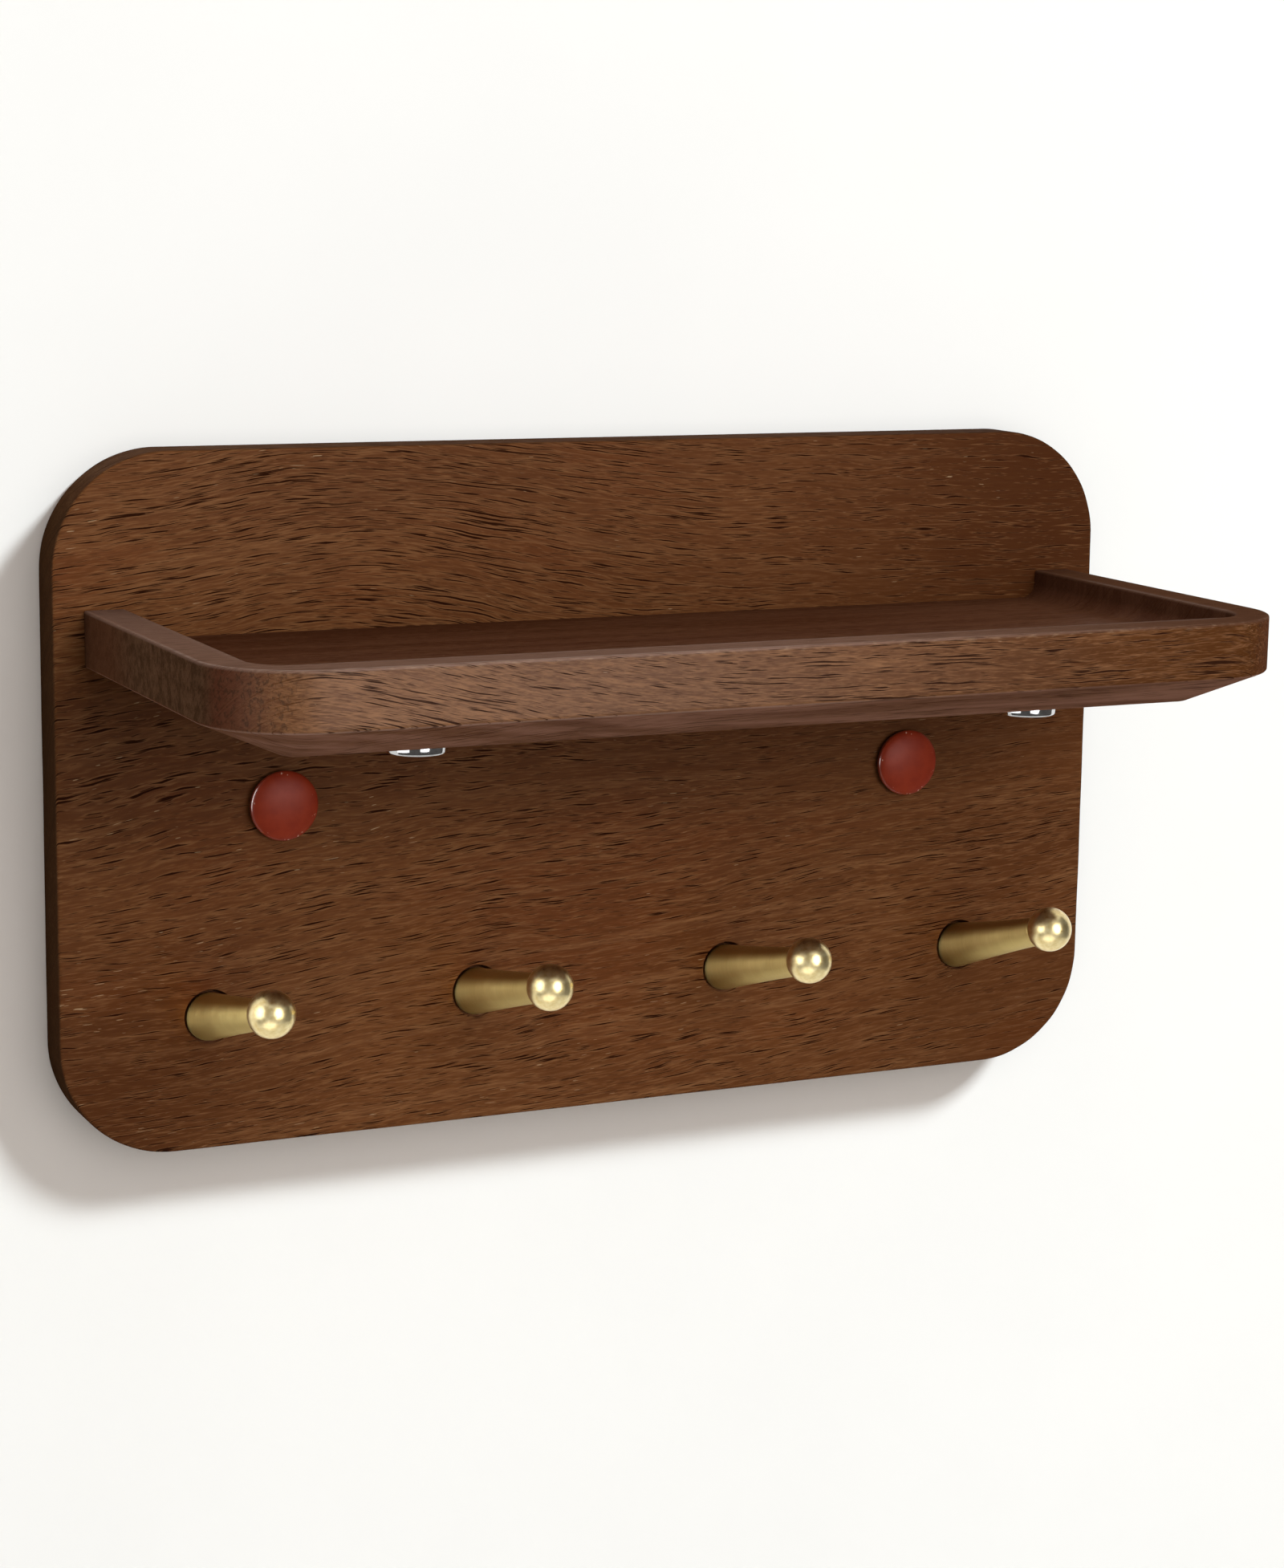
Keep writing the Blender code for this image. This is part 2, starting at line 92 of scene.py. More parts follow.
def roundedOutline(halfWidth, halfHeight, radius, cornerSteps, runSteps):
    # quarter arcs centre + radius (cos t, sin t) joined by divided straight runs; also the outward normals
    points, normals = [], []
    for quarter, (sideX, sideZ) in enumerate(((1, 1), (-1, 1), (-1, -1), (1, -1))):
        turn = np.radians(90 * quarter + np.linspace(0, 90, cornerSteps + 1))
        out = np.stack([np.cos(turn), np.sin(turn)], axis=-1)
        points.append(np.array([sideX * (halfWidth - radius), sideZ * (halfHeight - radius)]) + radius * out)
        normals.append(out)
    share = np.linspace(0, 1, runSteps + 2)[1:-1, None]
    runs, runNormals = [], []
    for i in range(4):
        runs.append(points[i][-1] * (1 - share) + points[(i + 1) % 4][0] * share)
        runNormals.append(np.tile(normals[i][-1], (runSteps, 1)))
    outline = np.vstack([part for pair in zip(points, runs) for part in pair])
    outward = np.vstack([part for pair in zip(normals, runNormals) for part in pair])
    return outline, outward


def trayOutline(half, rear, front, radius, cornerSteps, runSteps):
    # square at the rear and rounded at the two front corners; the rear edge only draws in sideways
    rearX = np.linspace(half, -half, runSteps + 2)[1:-1]
    sideY = np.linspace(rear, front + radius, runSteps)[:-1]
    frontX = np.linspace(-half + radius, half - radius, runSteps + 2)[1:-1]
    leftTurn = np.radians(np.linspace(180, 270, cornerSteps + 1))
    rightTurn = np.radians(np.linspace(270, 360, cornerSteps + 1))

    def run(x, y, outX, outY):
        return np.stack(np.broadcast_arrays(x, y, outX, outY), axis=-1).astype(float)

    def corner(middle, turn):
        out = np.stack([np.cos(turn), np.sin(turn)], axis=-1)
        return np.hstack([np.array([middle, front + radius]) + radius * out, out])

    chain = np.vstack([
        run(rearX, rear, rearX / half, 0),
        run(-half, sideY, -1, 0),
        corner(-half + radius, leftTurn),
        run(frontX, front, 0, -1),
        corner(half - radius, rightTurn),
        run(half, sideY[::-1], 1, 0),
    ])
    return chain[:, :2], chain[:, 2:]


def ripple(share, counts, seed):
    # sum of sines round a closed outline, each with its own count of waves and seeded phase, within -1 to 1
    phases = np.random.default_rng(seed).uniform(0, 2 * math.pi, len(counts))
    waves = np.sin(2 * math.pi * np.outer(share, counts) + phases)
    return waves.mean(axis=1)


def closedRings(body, first, last):
    # rings with a pole before and after them
    poles = np.array([first, last])[:, None, None] + np.zeros((1, body.shape[1], 3))
    return np.vstack([poles[0], body, poles[1]])


def gridMesh(name, rings, loop=False, spots=None):
    # rings[i, j] is step j of ring i; steps wrap round, a ring that is one point becomes a pole,
    # and loop joins the last ring to the first; quads run between neighbours and face outwards
    ringCount, stepCount = rings.shape[:2]
    index = np.arange(ringCount * stepCount).reshape(ringCount, stepCount)
    if not loop:
        for end in (0, -1):
            if np.ptp(rings[end], axis=0).max() < sameSpot:
                index[end] = index[end, 0]
    lower = index if loop else index[:-1]
    upper = np.roll(index, -1, axis=0) if loop else index[1:]
    nextLower, nextUpper = np.roll(lower, -1, axis=1), np.roll(upper, -1, axis=1)
    quads = np.stack([lower, nextLower, nextUpper, upper], axis=-1)
    used, quads = np.unique(quads, return_inverse=True)
    quads = quads.reshape(-1, 4)
    points = rings.reshape(-1, 3)[used]
    a, b, c, d = (points[quads[:, k]] for k in range(4))
    volume = np.einsum("ij,ij->i", a, np.cross(b, c) + np.cross(c, d)).sum()
    if volume < 0:
        quads = quads[:, ::-1]
    startPole = quads[:, 0] == quads[:, 1]
    endPole = quads[:, 2] == quads[:, 3]
    faces = quads[~(startPole | endPole)].tolist()
    faces += quads[startPole][:, [0, 2, 3]].tolist() + quads[endPole][:, [0, 1, 2]].tolist()
    mesh = bpy.data.meshes.new(name)
    mesh.from_pydata(points.tolist(), [], faces)
    if spots is not None:
        turned = mesh.attributes.new("turned", "FLOAT_VECTOR", "POINT")
        turned.data.foreach_set("vector", spots.reshape(-1, 3)[used].astype(np.float32).ravel())
    return mesh


def shadeRound(mesh, sharpAngle=35.0):
    mesh.shade_smooth()
    mesh.set_sharp_from_angle(angle=math.radians(sharpAngle))


def newObject(name, data):
    thing = bpy.data.objects.new(name, data)
    bpy.context.scene.collection.objects.link(thing)
    return thing


def newPiece(name, mesh):
    shadeRound(mesh)
    return newObject(name, mesh)


def turnedPiece(name, profile, steps, spot, tilt=0.0, down=False, loop=False):
    rings = turnedRings(profile, steps)
    return newPiece(name, gridMesh(name, placedRings(rings, spot, tilt, down), loop, rings))


def drilled(profile, steps, spot, tilt=0.0, down=False):
    return gridMesh("hole", placedRings(turnedRings(profile, steps), spot, tilt, down))


def cutAway(piece, cutters):
    # every cutter's shape is taken out, the result becomes the piece's own mesh, and wide faces keep their
    # flat shading
    helpers = [newPiece(f"cutter{i}", mesh) for i, mesh in enumerate(cutters)]
    for helper in helpers:
        boolean = piece.modifiers.new(helper.name, "BOOLEAN")
        boolean.operation = "DIFFERENCE"
        boolean.solver = "EXACT"
        boolean.object = helper
    bpy.context.view_layer.update()
    evaluated = piece.evaluated_get(bpy.context.evaluated_depsgraph_get())
    whole = bpy.data.meshes.new_from_object(evaluated)
    piece.modifiers.clear()
    piece.data = whole
    whole.name = piece.name
    for helper in helpers:
        bpy.data.objects.remove(helper)
    shadeRound(whole)
    weighted = piece.modifiers.new("flatFaces", "WEIGHTED_NORMAL")
    weighted.keep_sharp = True
    return piece


def paintAll(thing, material):
    thing.data.materials.clear()
    thing.data.materials.append(material)


def dress(piece, material, body, slot, *nodes):
    paintAll(piece, material)
    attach(piece, body)
    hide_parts(*nodes)


# Shader expressions

def mathNode(operation, reflected=False):
    # a method that adds a Math node; the reflected form swaps its two values
    return lambda left, right: left.math(operation, *((right, left) if reflected else (left, right)))


class Flow:
    # one output socket of a node tree; + - * / and powers of sockets and numbers add Math nodes
    def __init__(self, tree, socket):
        self.tree = tree
        self.socket = socket

    @staticmethod
    def port(ports, key):
        if isinstance(key, int):
            return ports[key]
        named = [p for p in ports if p.identifier == key] or [p for p in ports if p.name == key]
        return named[0]

    # any node: its type, its settings (set first), the values or links of its sockets, and the output wanted
    def add(self, kind, settings=None, sockets=None, out=0):
        node = self.tree.nodes.new(f"ShaderNode{kind}")
        for key, value in (settings or {}).items():
            setattr(node, key, value)
        for key, value in (sockets or {}).items():
            target = self.port(node.inputs, key)
            if isinstance(value, Flow):
                self.tree.links.new(value.socket, target)
            else:
                target.default_value = value
        return Flow(self.tree, self.port(node.outputs, out) if node.outputs else None)

    def other(self, key):
        return Flow(self.tree, self.port(self.socket.node.outputs, key))

    def math(self, operation, *values):
        return self.add("Math", {"operation": operation}, dict(enumerate(values)))

    __add__ = __radd__ = mathNode("ADD")
    __sub__, __rsub__ = mathNode("SUBTRACT"), mathNode("SUBTRACT", True)
    __mul__ = __rmul__ = mathNode("MULTIPLY")
    __truediv__, __rtruediv__ = mathNode("DIVIDE"), mathNode("DIVIDE", True)
    __pow__, __rpow__ = mathNode("POWER"), mathNode("POWER", True)
    atLeast, atMost = mathNode("MAXIMUM"), mathNode("MINIMUM")

    def __abs__(self):
        return self.math("ABSOLUTE", self)

    def ease(self, low, high):
        # smooth step: 0 at low, 1 at high, also with low above high
        return self.add("MapRange", {"interpolation_type": "SMOOTHSTEP"},
                        {"Value": self, "From Min": low, "From Max": high})

    def tint(self, first, second):
        # colour between first and second by this factor
        return self.add("Mix", {"data_type": "RGBA", "blend_type": "MIX"},
                        {"Factor_Float": self, "A_Color": first, "B_Color": second}, "Result_Color")

    def parts(self):
        x = self.add("SeparateXYZ", None, {"Vector": self})
        return x, x.other(1), x.other(2)

    def noise(self, scale, detail=2.0, shift=(0, 0, 0), rough=0.5):
        # soft noise of this point, stretched by cells per metre along each axis
        laid = self.add("Mapping", None, {"Vector": self, "Location": shift, "Scale": scale})
        return laid.add("TexNoise", None,
                        {"Vector": laid, "Scale": 1.0, "Detail": detail, "Roughness": rough})

    def cells(self, scale, shift=(0, 0, 0)):
        # distance in X and Y to the nearest of randomly strewn points, in cells; the node's Color output is
        # that point's own random value
        laid = self.add("Mapping", None, {"Vector": self, "Location": shift, "Scale": scale})
        return laid.add("TexVoronoi", {"distance": "MANHATTAN", "voronoi_dimensions": "2D"},
                        {"Vector": laid, "Scale": 1.0, "Randomness": 1.0}, "Distance")

    def bump(self, strength, distance):
        return self.add("Bump", None, {"Height": self, "Strength": strength, "Distance": distance})


def newMaterial(name):
    material = bpy.data.materials.new(name)
    material.use_nodes = True
    material.node_tree.nodes.clear()
    return material, Flow(material.node_tree, None)


def closeMaterial(start, sockets):
    shader = start.add("BsdfPrincipled", None, sockets)
    start.add("OutputMaterial", None, {"Surface": shader})


def objectPoint(start):
    return start.add("TexCoord", None, None, "Object")


def turnedSpot(start):
    # a turned piece's points before they were tilted and put in place
    return start.add("Attribute", {"attribute_name": "turned"}, None, "Vector")


def facing(start):
    return start.add("NewGeometry", None, None, "Normal").parts()


def vectorOf(x, y, z):
    return x.add("CombineXYZ", None, {"X": x, "Y": y, "Z": z})


def fibres(point, wood):
    # fibres run along X with a lean that fans out downwards; the height across them is bent by a broad swell,
    # size exp(-((x - middle) / width)^2), and by slow noise, so that the pores follow gentle waves
    x, y, z = point.parts()
    offset = (x - wood["swellMiddle"]) / wood["swellWidth"]
    fall = offset * offset * -1
    swell = fall.math("EXPONENT", fall) * z.ease(*wood["swellRise"]) * wood["swellSize"]
    waver = (point.noise(wood["waverScale"], 2.0) - 0.5) * wood["waverSize"]
    waver = waver + (point.noise(wood["wobbleScale"], 1.0, (2.2, 5.1, 0.7)) - 0.5) * wood["wobbleSize"]
    lean = z.ease(*wood["fan"]) * wood["fanLean"] + wood["lean"]
    return vectorOf(x, y, z - swell - waver - x * lean)


# lip: how far the pale halo round each pore reaches, a painted highlight
poreShape = dict(
    luck=(0.45, 1.15), least=0.002, edge=(1.0, 0.55), lip=(1.75, 1.15), layerShift=(9.3, 4.1),
    slipShift=(1.3, 0.2, 0), crowdShift=(3.1, 0, 7.7), frayShift=(6.6, 1.0, 0.4),
)
everywhere = (-2.0, -1.0)        # a span that lies before every point of the object


def pores(flow, wood, longZone, bold):
    # spindles round randomly strewn points, drawn out along the fibres: each point's own random value sets
    # its spindle's size, and many stay bare; slow noise crowds them, bold swells them all, fine noise frays
    # their outlines, and the last layer keeps to its zone; the second mask is a thin pale halo round each
    # spindle, a painted highlight; height plus depth counts across the fibres, so upright and level faces
    # both show them lengthwise
    p = poreShape
    along, depth, height = flow.parts()
    across = height + depth
    slip = vectorOf(along, across, depth).noise(wood["slipScale"], 1.0, p["slipShift"]) - 0.5
    sheet = vectorOf(along + slip * wood["slipSize"], across, depth)        # slip keeps them out of columns
    crowd = flow.noise(wood["crowdScale"], 2.0, p["crowdShift"]) - 0.5
    fray = (flow.noise(wood["frayScale"], 2.0, p["frayShift"]) - 0.5) * wood["fraying"]
    mask, poreHalos = None, None
    for number, (scale, size, weight) in enumerate(wood["poreLayers"]):
        shiftAlong, shiftAcross = (shift * number for shift in p["layerShift"])
        distance = sheet.cells((*scale, 1), (shiftAlong, shiftAcross, 0))
        luck = distance.other("Color").parts()[0]
        reach = (luck + crowd * wood["crowding"] + bold).ease(*p["luck"]) * size
        if number == len(wood["poreLayers"]) - 1:
            reach = reach * longZone
        spread = distance / reach.atLeast(p["least"]) + fray
        layer, lip = spread.ease(*p["edge"]) * weight, spread.ease(*p["lip"]) * weight
        mask = layer if mask is None else mask.atLeast(layer)
        poreHalos = lip if poreHalos is None else poreHalos.atLeast(lip)
    return mask, (poreHalos - mask).atLeast(0.0)


def zoneSum(x, z, zones):
    # sum of strength * ease across * ease upwards
    return sum(x.ease(*across) * z.ease(*upward) * strength for across, upward, strength in zones)


def noisesOf(point, rows):
    return {name: point.noise(*row) for name, row in rows.items()}


def easedMasks(sources, rows):
    return SimpleNamespace(**{name: sources[source].ease(*span) for name, (source, *span) in rows.items()})


def layered(colour, masks, tones):
    # each layer lays its tone over the colour by mask * share
    for mask, share, tone in tones["layers"]:
        colour = (getattr(masks, mask) * share).tint(colour, tones[tone])
    return colour


oilFinish = {"Specular IOR Level": 0.0, "Coat Roughness": 0.46, "Coat IOR": 1.34}
oilBump = dict(strength=0.5, distance=0.00022)

boardWood = dict(
    # how the fibres bend
    swellMiddle=-0.075, swellWidth=0.070, swellSize=0.013, swellRise=(-0.02, 0.05),
    lean=-0.012, fan=(0.030, -0.030), fanLean=0.095,
    waverScale=(11, 9, 30), waverSize=0.008, wobbleScale=(85, 60, 240), wobbleSize=0.0012,
    # pore layers: cells per metre along and across the fibres, size in cells, and darkness
    poreLayers=(((64, 1450), 0.44, 1.0), ((120, 2000), 0.39, 0.75), ((21, 1350), 0.42, 1.0)),
    crowdScale=(18, 18, 70), crowding=0.5, frayScale=(420, 1500, 1500), fraying=0.45,
    slipScale=(4, 380, 4), slipSize=0.060, longMiddle=-0.030, longWidth=0.048, strayLength=0.8,
    # where they are bold: span across, span in height, and strength
    bold=(((0.080, -0.020), (0.015, 0.055), 0.15), ((0.060, -0.030), everywhere, 0.04)), boldness=0.06,
    # noises: cells per metre along each axis, octaves, shift and roughness
    noises=dict(
        longPores=((14, 14, 40), 1.0, (7.0, 0, 3.0)), patch=((7, 7, 15), 3.0, (1.7, 0, 5.2)),
        blush=((11, 11, 26), 2.0, (8.4, 0, 2.2)), streak=((9, 90, 260), 3.0, (4.4, 0, 0), 0.6),
        grain=((48, 480, 820), 3.0, (2.5, 0, 6.1), 0.65), fibre=((170, 1300, 2300), 2.0, (0, 0, 0), 0.65),
        scatter=((22, 22, 40), 1.0, (2.0, 0, 9.0)), fleck=((190, 1900, 3400), 1.0, (5, 0, 1)),
    ),
    # masks: what is eased, and where it reaches 0 and 1
    masks=dict(
        patch=("patch", 0.34, 0.62), blush=("blush", 0.50, 0.70), streak=("streak", 0.48, 0.72),
        darkGrain=("grain", 0.50, 0.68), paleGrain=("grain", 0.47, 0.30),
        darkFibre=("fibre", 0.42, 0.66), paleFibre=("fibre", 0.48, 0.30),
        fleck=("strewn", 0.785, 0.82), strayLong=("longPores", 0.54, 0.66),
        longAcross=("beside", -2.2, 0.0), longRise=("z", 0.015, 0.050),
        # the band under the tray that takes the painted shadow
        shelterFoot=("z", -0.020, 0.006), shelterTop=("z", 0.036, 0.026),
        endFace=("sideways", 0.45, 0.95), topFace=("upright", 0.5, 0.9),
    ),
    # where the wood is darker: as for bold; and a painted shadow of the tray in the band under it
    ages=(
        ((0.030, 0.140), (0.000, 0.060), 0.52), ((0.030, 0.140), (-0.030, -0.075), 0.44),
        ((0.030, 0.140), everywhere, 0.05), ((-0.060, -0.145), (-0.020, -0.085), 0.52),
        ((-0.110, 0.000), (0.010, 0.060), 0.26), (everywhere, (0.010, 0.060), 0.08),
    ),
    underTrayShadow=0.45,
    # layers of colour over the patches: mask, share and tone; the lip layer is a painted highlight round the
    # pores
    layers=(
        ("blush", 0.70, "red"), ("streak", 0.52, "pale"), ("darkGrain", 0.64, "deep"),
        ("paleGrain", 0.60, "pale"), ("darkFibre", 0.53, "deep"), ("paleFibre", 0.50, "pale"),
        # the age layer lays the darker zones and the painted shadow under the tray
        ("age", 1.0, "aged"), ("lip", 0.42, "pale"), ("pore", 0.97, "pore"), ("fleck", 0.65, "fleck"),
        # end faces take the end-grain tone, darkened further as painted shade, and the top face takes half of
        # it as painted shade
        ("endFace", 0.8, "endGrainAndShade"), ("topFace", 0.5, "endGrainAndShade"),
    ),
    deep=(0.083, 0.0270, 0.0080, 1), middle=(0.133, 0.0485, 0.0150, 1),
    pale=(0.205, 0.092, 0.036, 1), red=(0.128, 0.038, 0.0105, 1), pore=(0.018, 0.0050, 0.0020, 1),
    fleck=(0.40, 0.27, 0.15, 1), aged=(0.050, 0.0140, 0.0034, 1), endGrainAndShade=(0.034, 0.0175, 0.0088, 1),
    fleckDrift=-0.6, fleckCrowding=0.25, roughness=0.58, poreRough=0.25, streakRough=0.25,
    sheen=0.04, fibreSheen=0.12, fibreHeight=0.25, streakHeight=0.2,
)


def boardMaterial():
    s = boardWood
    material, start = newMaterial("oiledBoard")
    point = objectPoint(start)
    x, _, z = point.parts()
    flow = fibres(point, s)
    sideways, _, upright = facing(start)
    noises = noisesOf(flow, s["noises"])
    streak, fibre = noises["streak"], noises["fibre"]
    beside = (x - s["longMiddle"]) / s["longWidth"]
    scatter = noises["scatter"] + x * s["fleckDrift"] - 0.5
    sources = {**noises, "strewn": noises["fleck"] + scatter * s["fleckCrowding"], "z": z,
               "beside": beside * beside * -1, "sideways": abs(sideways), "upright": upright}
    m = easedMasks(sources, s["masks"])
    longZone = (m.longAcross * m.longRise).atLeast(m.strayLong * s["strayLength"])
    m.pore, m.lip = pores(flow, s, longZone, zoneSum(x, z, s["bold"]) + s["boldness"])
    # darker zones, plus the painted shadow of the tray over the band under it
    m.age = zoneSum(x, z, s["ages"]) + m.shelterFoot * m.shelterTop * s["underTrayShadow"]
    colour = layered(m.patch.tint(s["deep"], s["middle"]), m, s)
    rough = m.pore * s["poreRough"] + (streak - 0.5) * s["streakRough"] + s["roughness"]
    sheen = (1 - m.endFace) * (1 - m.pore) * (fibre * s["fibreSheen"] + s["sheen"])
    height = fibre * s["fibreHeight"] + streak * s["streakHeight"] - m.pore
    closeMaterial(start, {"Base Color": colour, "Roughness": rough, "Coat Weight": sheen,
                          "Normal": height.bump(**oilBump), **oilFinish})
    return material


trayWood = dict(
    # as for the board, with noises that follow the fibres and plain ones that don't
    swellMiddle=-0.142, swellWidth=0.080, swellSize=0.022, swellRise=everywhere,
    lean=0.0, fan=(0.030, -0.030), fanLean=0.0,
    waverScale=(14, 9, 30), waverSize=0.004, wobbleScale=(85, 120, 240), wobbleSize=0.0010,
    poreLayers=(((82, 1700), 0.44, 1.0), ((150, 2400), 0.38, 0.65), ((30, 1450), 0.44, 0.95)),
    crowdScale=(20, 20, 60), crowding=0.5, frayScale=(420, 1500, 1500), fraying=0.45,
    slipScale=(4, 380, 4), slipSize=0.050,
    bold=(((0.090, -0.020), everywhere, 0.06),), boldness=0.13,
    noises=dict(
        longPores=((16, 16, 40), 1.0, (7.0, 0, 3.0)), patch=((9, 12, 30), 3.0, (1.1, 2, 5.2)),
        streak=((12, 120, 320), 3.0, (4.4, 0, 0), 0.6), grain=((60, 460, 800), 3.0, (2.5, 0, 6.1), 0.65),
        fibre=((190, 1200, 2200), 2.0, (6, 0, 0), 0.65), fleck=((260, 1700, 2500), 1.0, (5, 0, 1)),
    ),
    plainNoises=dict(
        fuzz=((420, 1500, 1900), 3.0), mottle=((200, 420, 330), 4.0, (3, 8, 1), 0.72),
        pits=((1000, 1000, 800), 2.0, (4, 2, 6), 0.6), floorStreak=((8, 190, 40), 4.0, (4.4, 0, 0), 0.65),
    ),
    masks=dict(
        # faces, by how far a point lies inside the outline, by height, or by how the surface faces
        outerFace=("inside", 0.0014, 0.0004), within=("inside", 0.0075, 0.0105),
        raised=("z", 0.0405, 0.0425), topFace=("fromTop", -0.0009, -0.0002),
        topEdge=("fromTop", -0.0016, -0.0005), below=("downward", 0.35, 0.75),
        endFace=("sideways", 0.30, 0.92), turning=("sideways", 0.10, 0.50),
        offFlat=("sideways", 0.999, 0.93), blush=("sideways", 0.995, 0.90),
        # runs along and across the tray
        dustRun=("x", 0.145, -0.12), floorRun=("x", 0.030, 0.120), rimRun=("x", 0.15, 0.0),
        rimEnd=("x", -0.110, -0.132), sheenRun=("x", 0.12, -0.06), rimDepth=("y", -0.020, -0.070),
        rear=("y", -0.060, -0.030),
        # noises
        patch=("patch", 0.34, 0.66), longZone=("longPores", 0.40, 0.58), fleck=("fleck", 0.79, 0.82),
        darkGrain=("grain", 0.50, 0.68), paleGrain=("grain", 0.47, 0.30),
        darkFibre=("fibre", 0.42, 0.66), paleFibre=("fibre", 0.48, 0.30), pits=("pits", 0.51, 0.64),
        streak=("streak", 0.50, 0.75), underStreak=("streak", 0.36, 0.64), fuzz=("fuzz", 0.30, 0.62),
        edgeFuzz=("fuzz", 0.50, 0.75), mottle=("mottle", 0.36, 0.64),
        floorStreak=("floorStreak", 0.40, 0.62), floorFibre=("fibre", 0.42, 0.62),
    ),
    layers=(
        # the dust layer is partly a painted sheen, strongest at the left end
        ("dust", 0.58, "dusty"), ("darkGrain", 0.50, "deep"), ("paleGrain", 0.40, "dusty"),
        ("darkFibre", 0.45, "deep"), ("paleFibre", 0.38, "dusty"), ("streak", 0.30, "deep"),
        # the chamfer layer is painted light on the downward chamfer
        ("endFace", 0.88, "endTone"), ("pits", 0.55, "endDark"), ("chamfer", 1.0, "chamfer"),
        # the lip layer is a painted highlight round the pores
        ("hollow", 0.9, "floorTone"), ("topFace", 0.85, "rimTone"), ("lip", 0.34, "dusty"),
        ("quietPore", 0.96, "pore"), ("bright", 1.0, "fleck"),
    ),
    quiet=dict(below=0.45, hollow=0.55, turning=0.80, topFace=0.5),
    deep=(0.062, 0.0205, 0.0058, 1), middle=(0.100, 0.0355, 0.0100, 1),
    # pale tan of the dust and its painted sheen, also laid by the pale grain and the pore halos
    dusty=(0.240, 0.112, 0.049, 1), pore=(0.020, 0.0068, 0.0035, 1), fleck=(0.44, 0.30, 0.19, 1),
    # end-grain tones, darker partly as painted shade
    endGrainAndShade=(0.082, 0.0420, 0.0235, 1), endDark=(0.032, 0.0160, 0.0082, 1),
    endRed=(0.056, 0.0188, 0.0089, 1), redShare=0.75, blush=(0.088, 0.0265, 0.0145, 1),
    blushShare=0.85, chamfer=(0.235, 0.114, 0.0760, 1),
    floor=(0.050, 0.0138, 0.0050, 1), floorPale=(0.094, 0.0355, 0.0172, 1),
    rim=(0.078, 0.034, 0.0185, 1), rimSheen=(0.165, 0.093, 0.067, 1),
    fleckShare=0.7, edgeWearAndHighlight=0.18, roughness=0.60, poreRough=0.2, streakRough=0.2,
    hollowRough=-0.12, hollowSheen=0.25, pitDepth=0.6,
)


def insideOutline(x, y, box, corner):
    # how far a point lies inside the tray's rounded outline: 0 on the outer face, growing inwards
    low, high = box
    cornerX = abs(x) - (high.x - corner)
    cornerY = (low.y + corner) - y
    reachX, reachY = cornerX.atLeast(0.0), cornerY.atLeast(0.0)
    reach = (reachX * reachX + reachY * reachY) ** 0.5
    return corner - reach - cornerX.atLeast(cornerY).atMost(0.0)


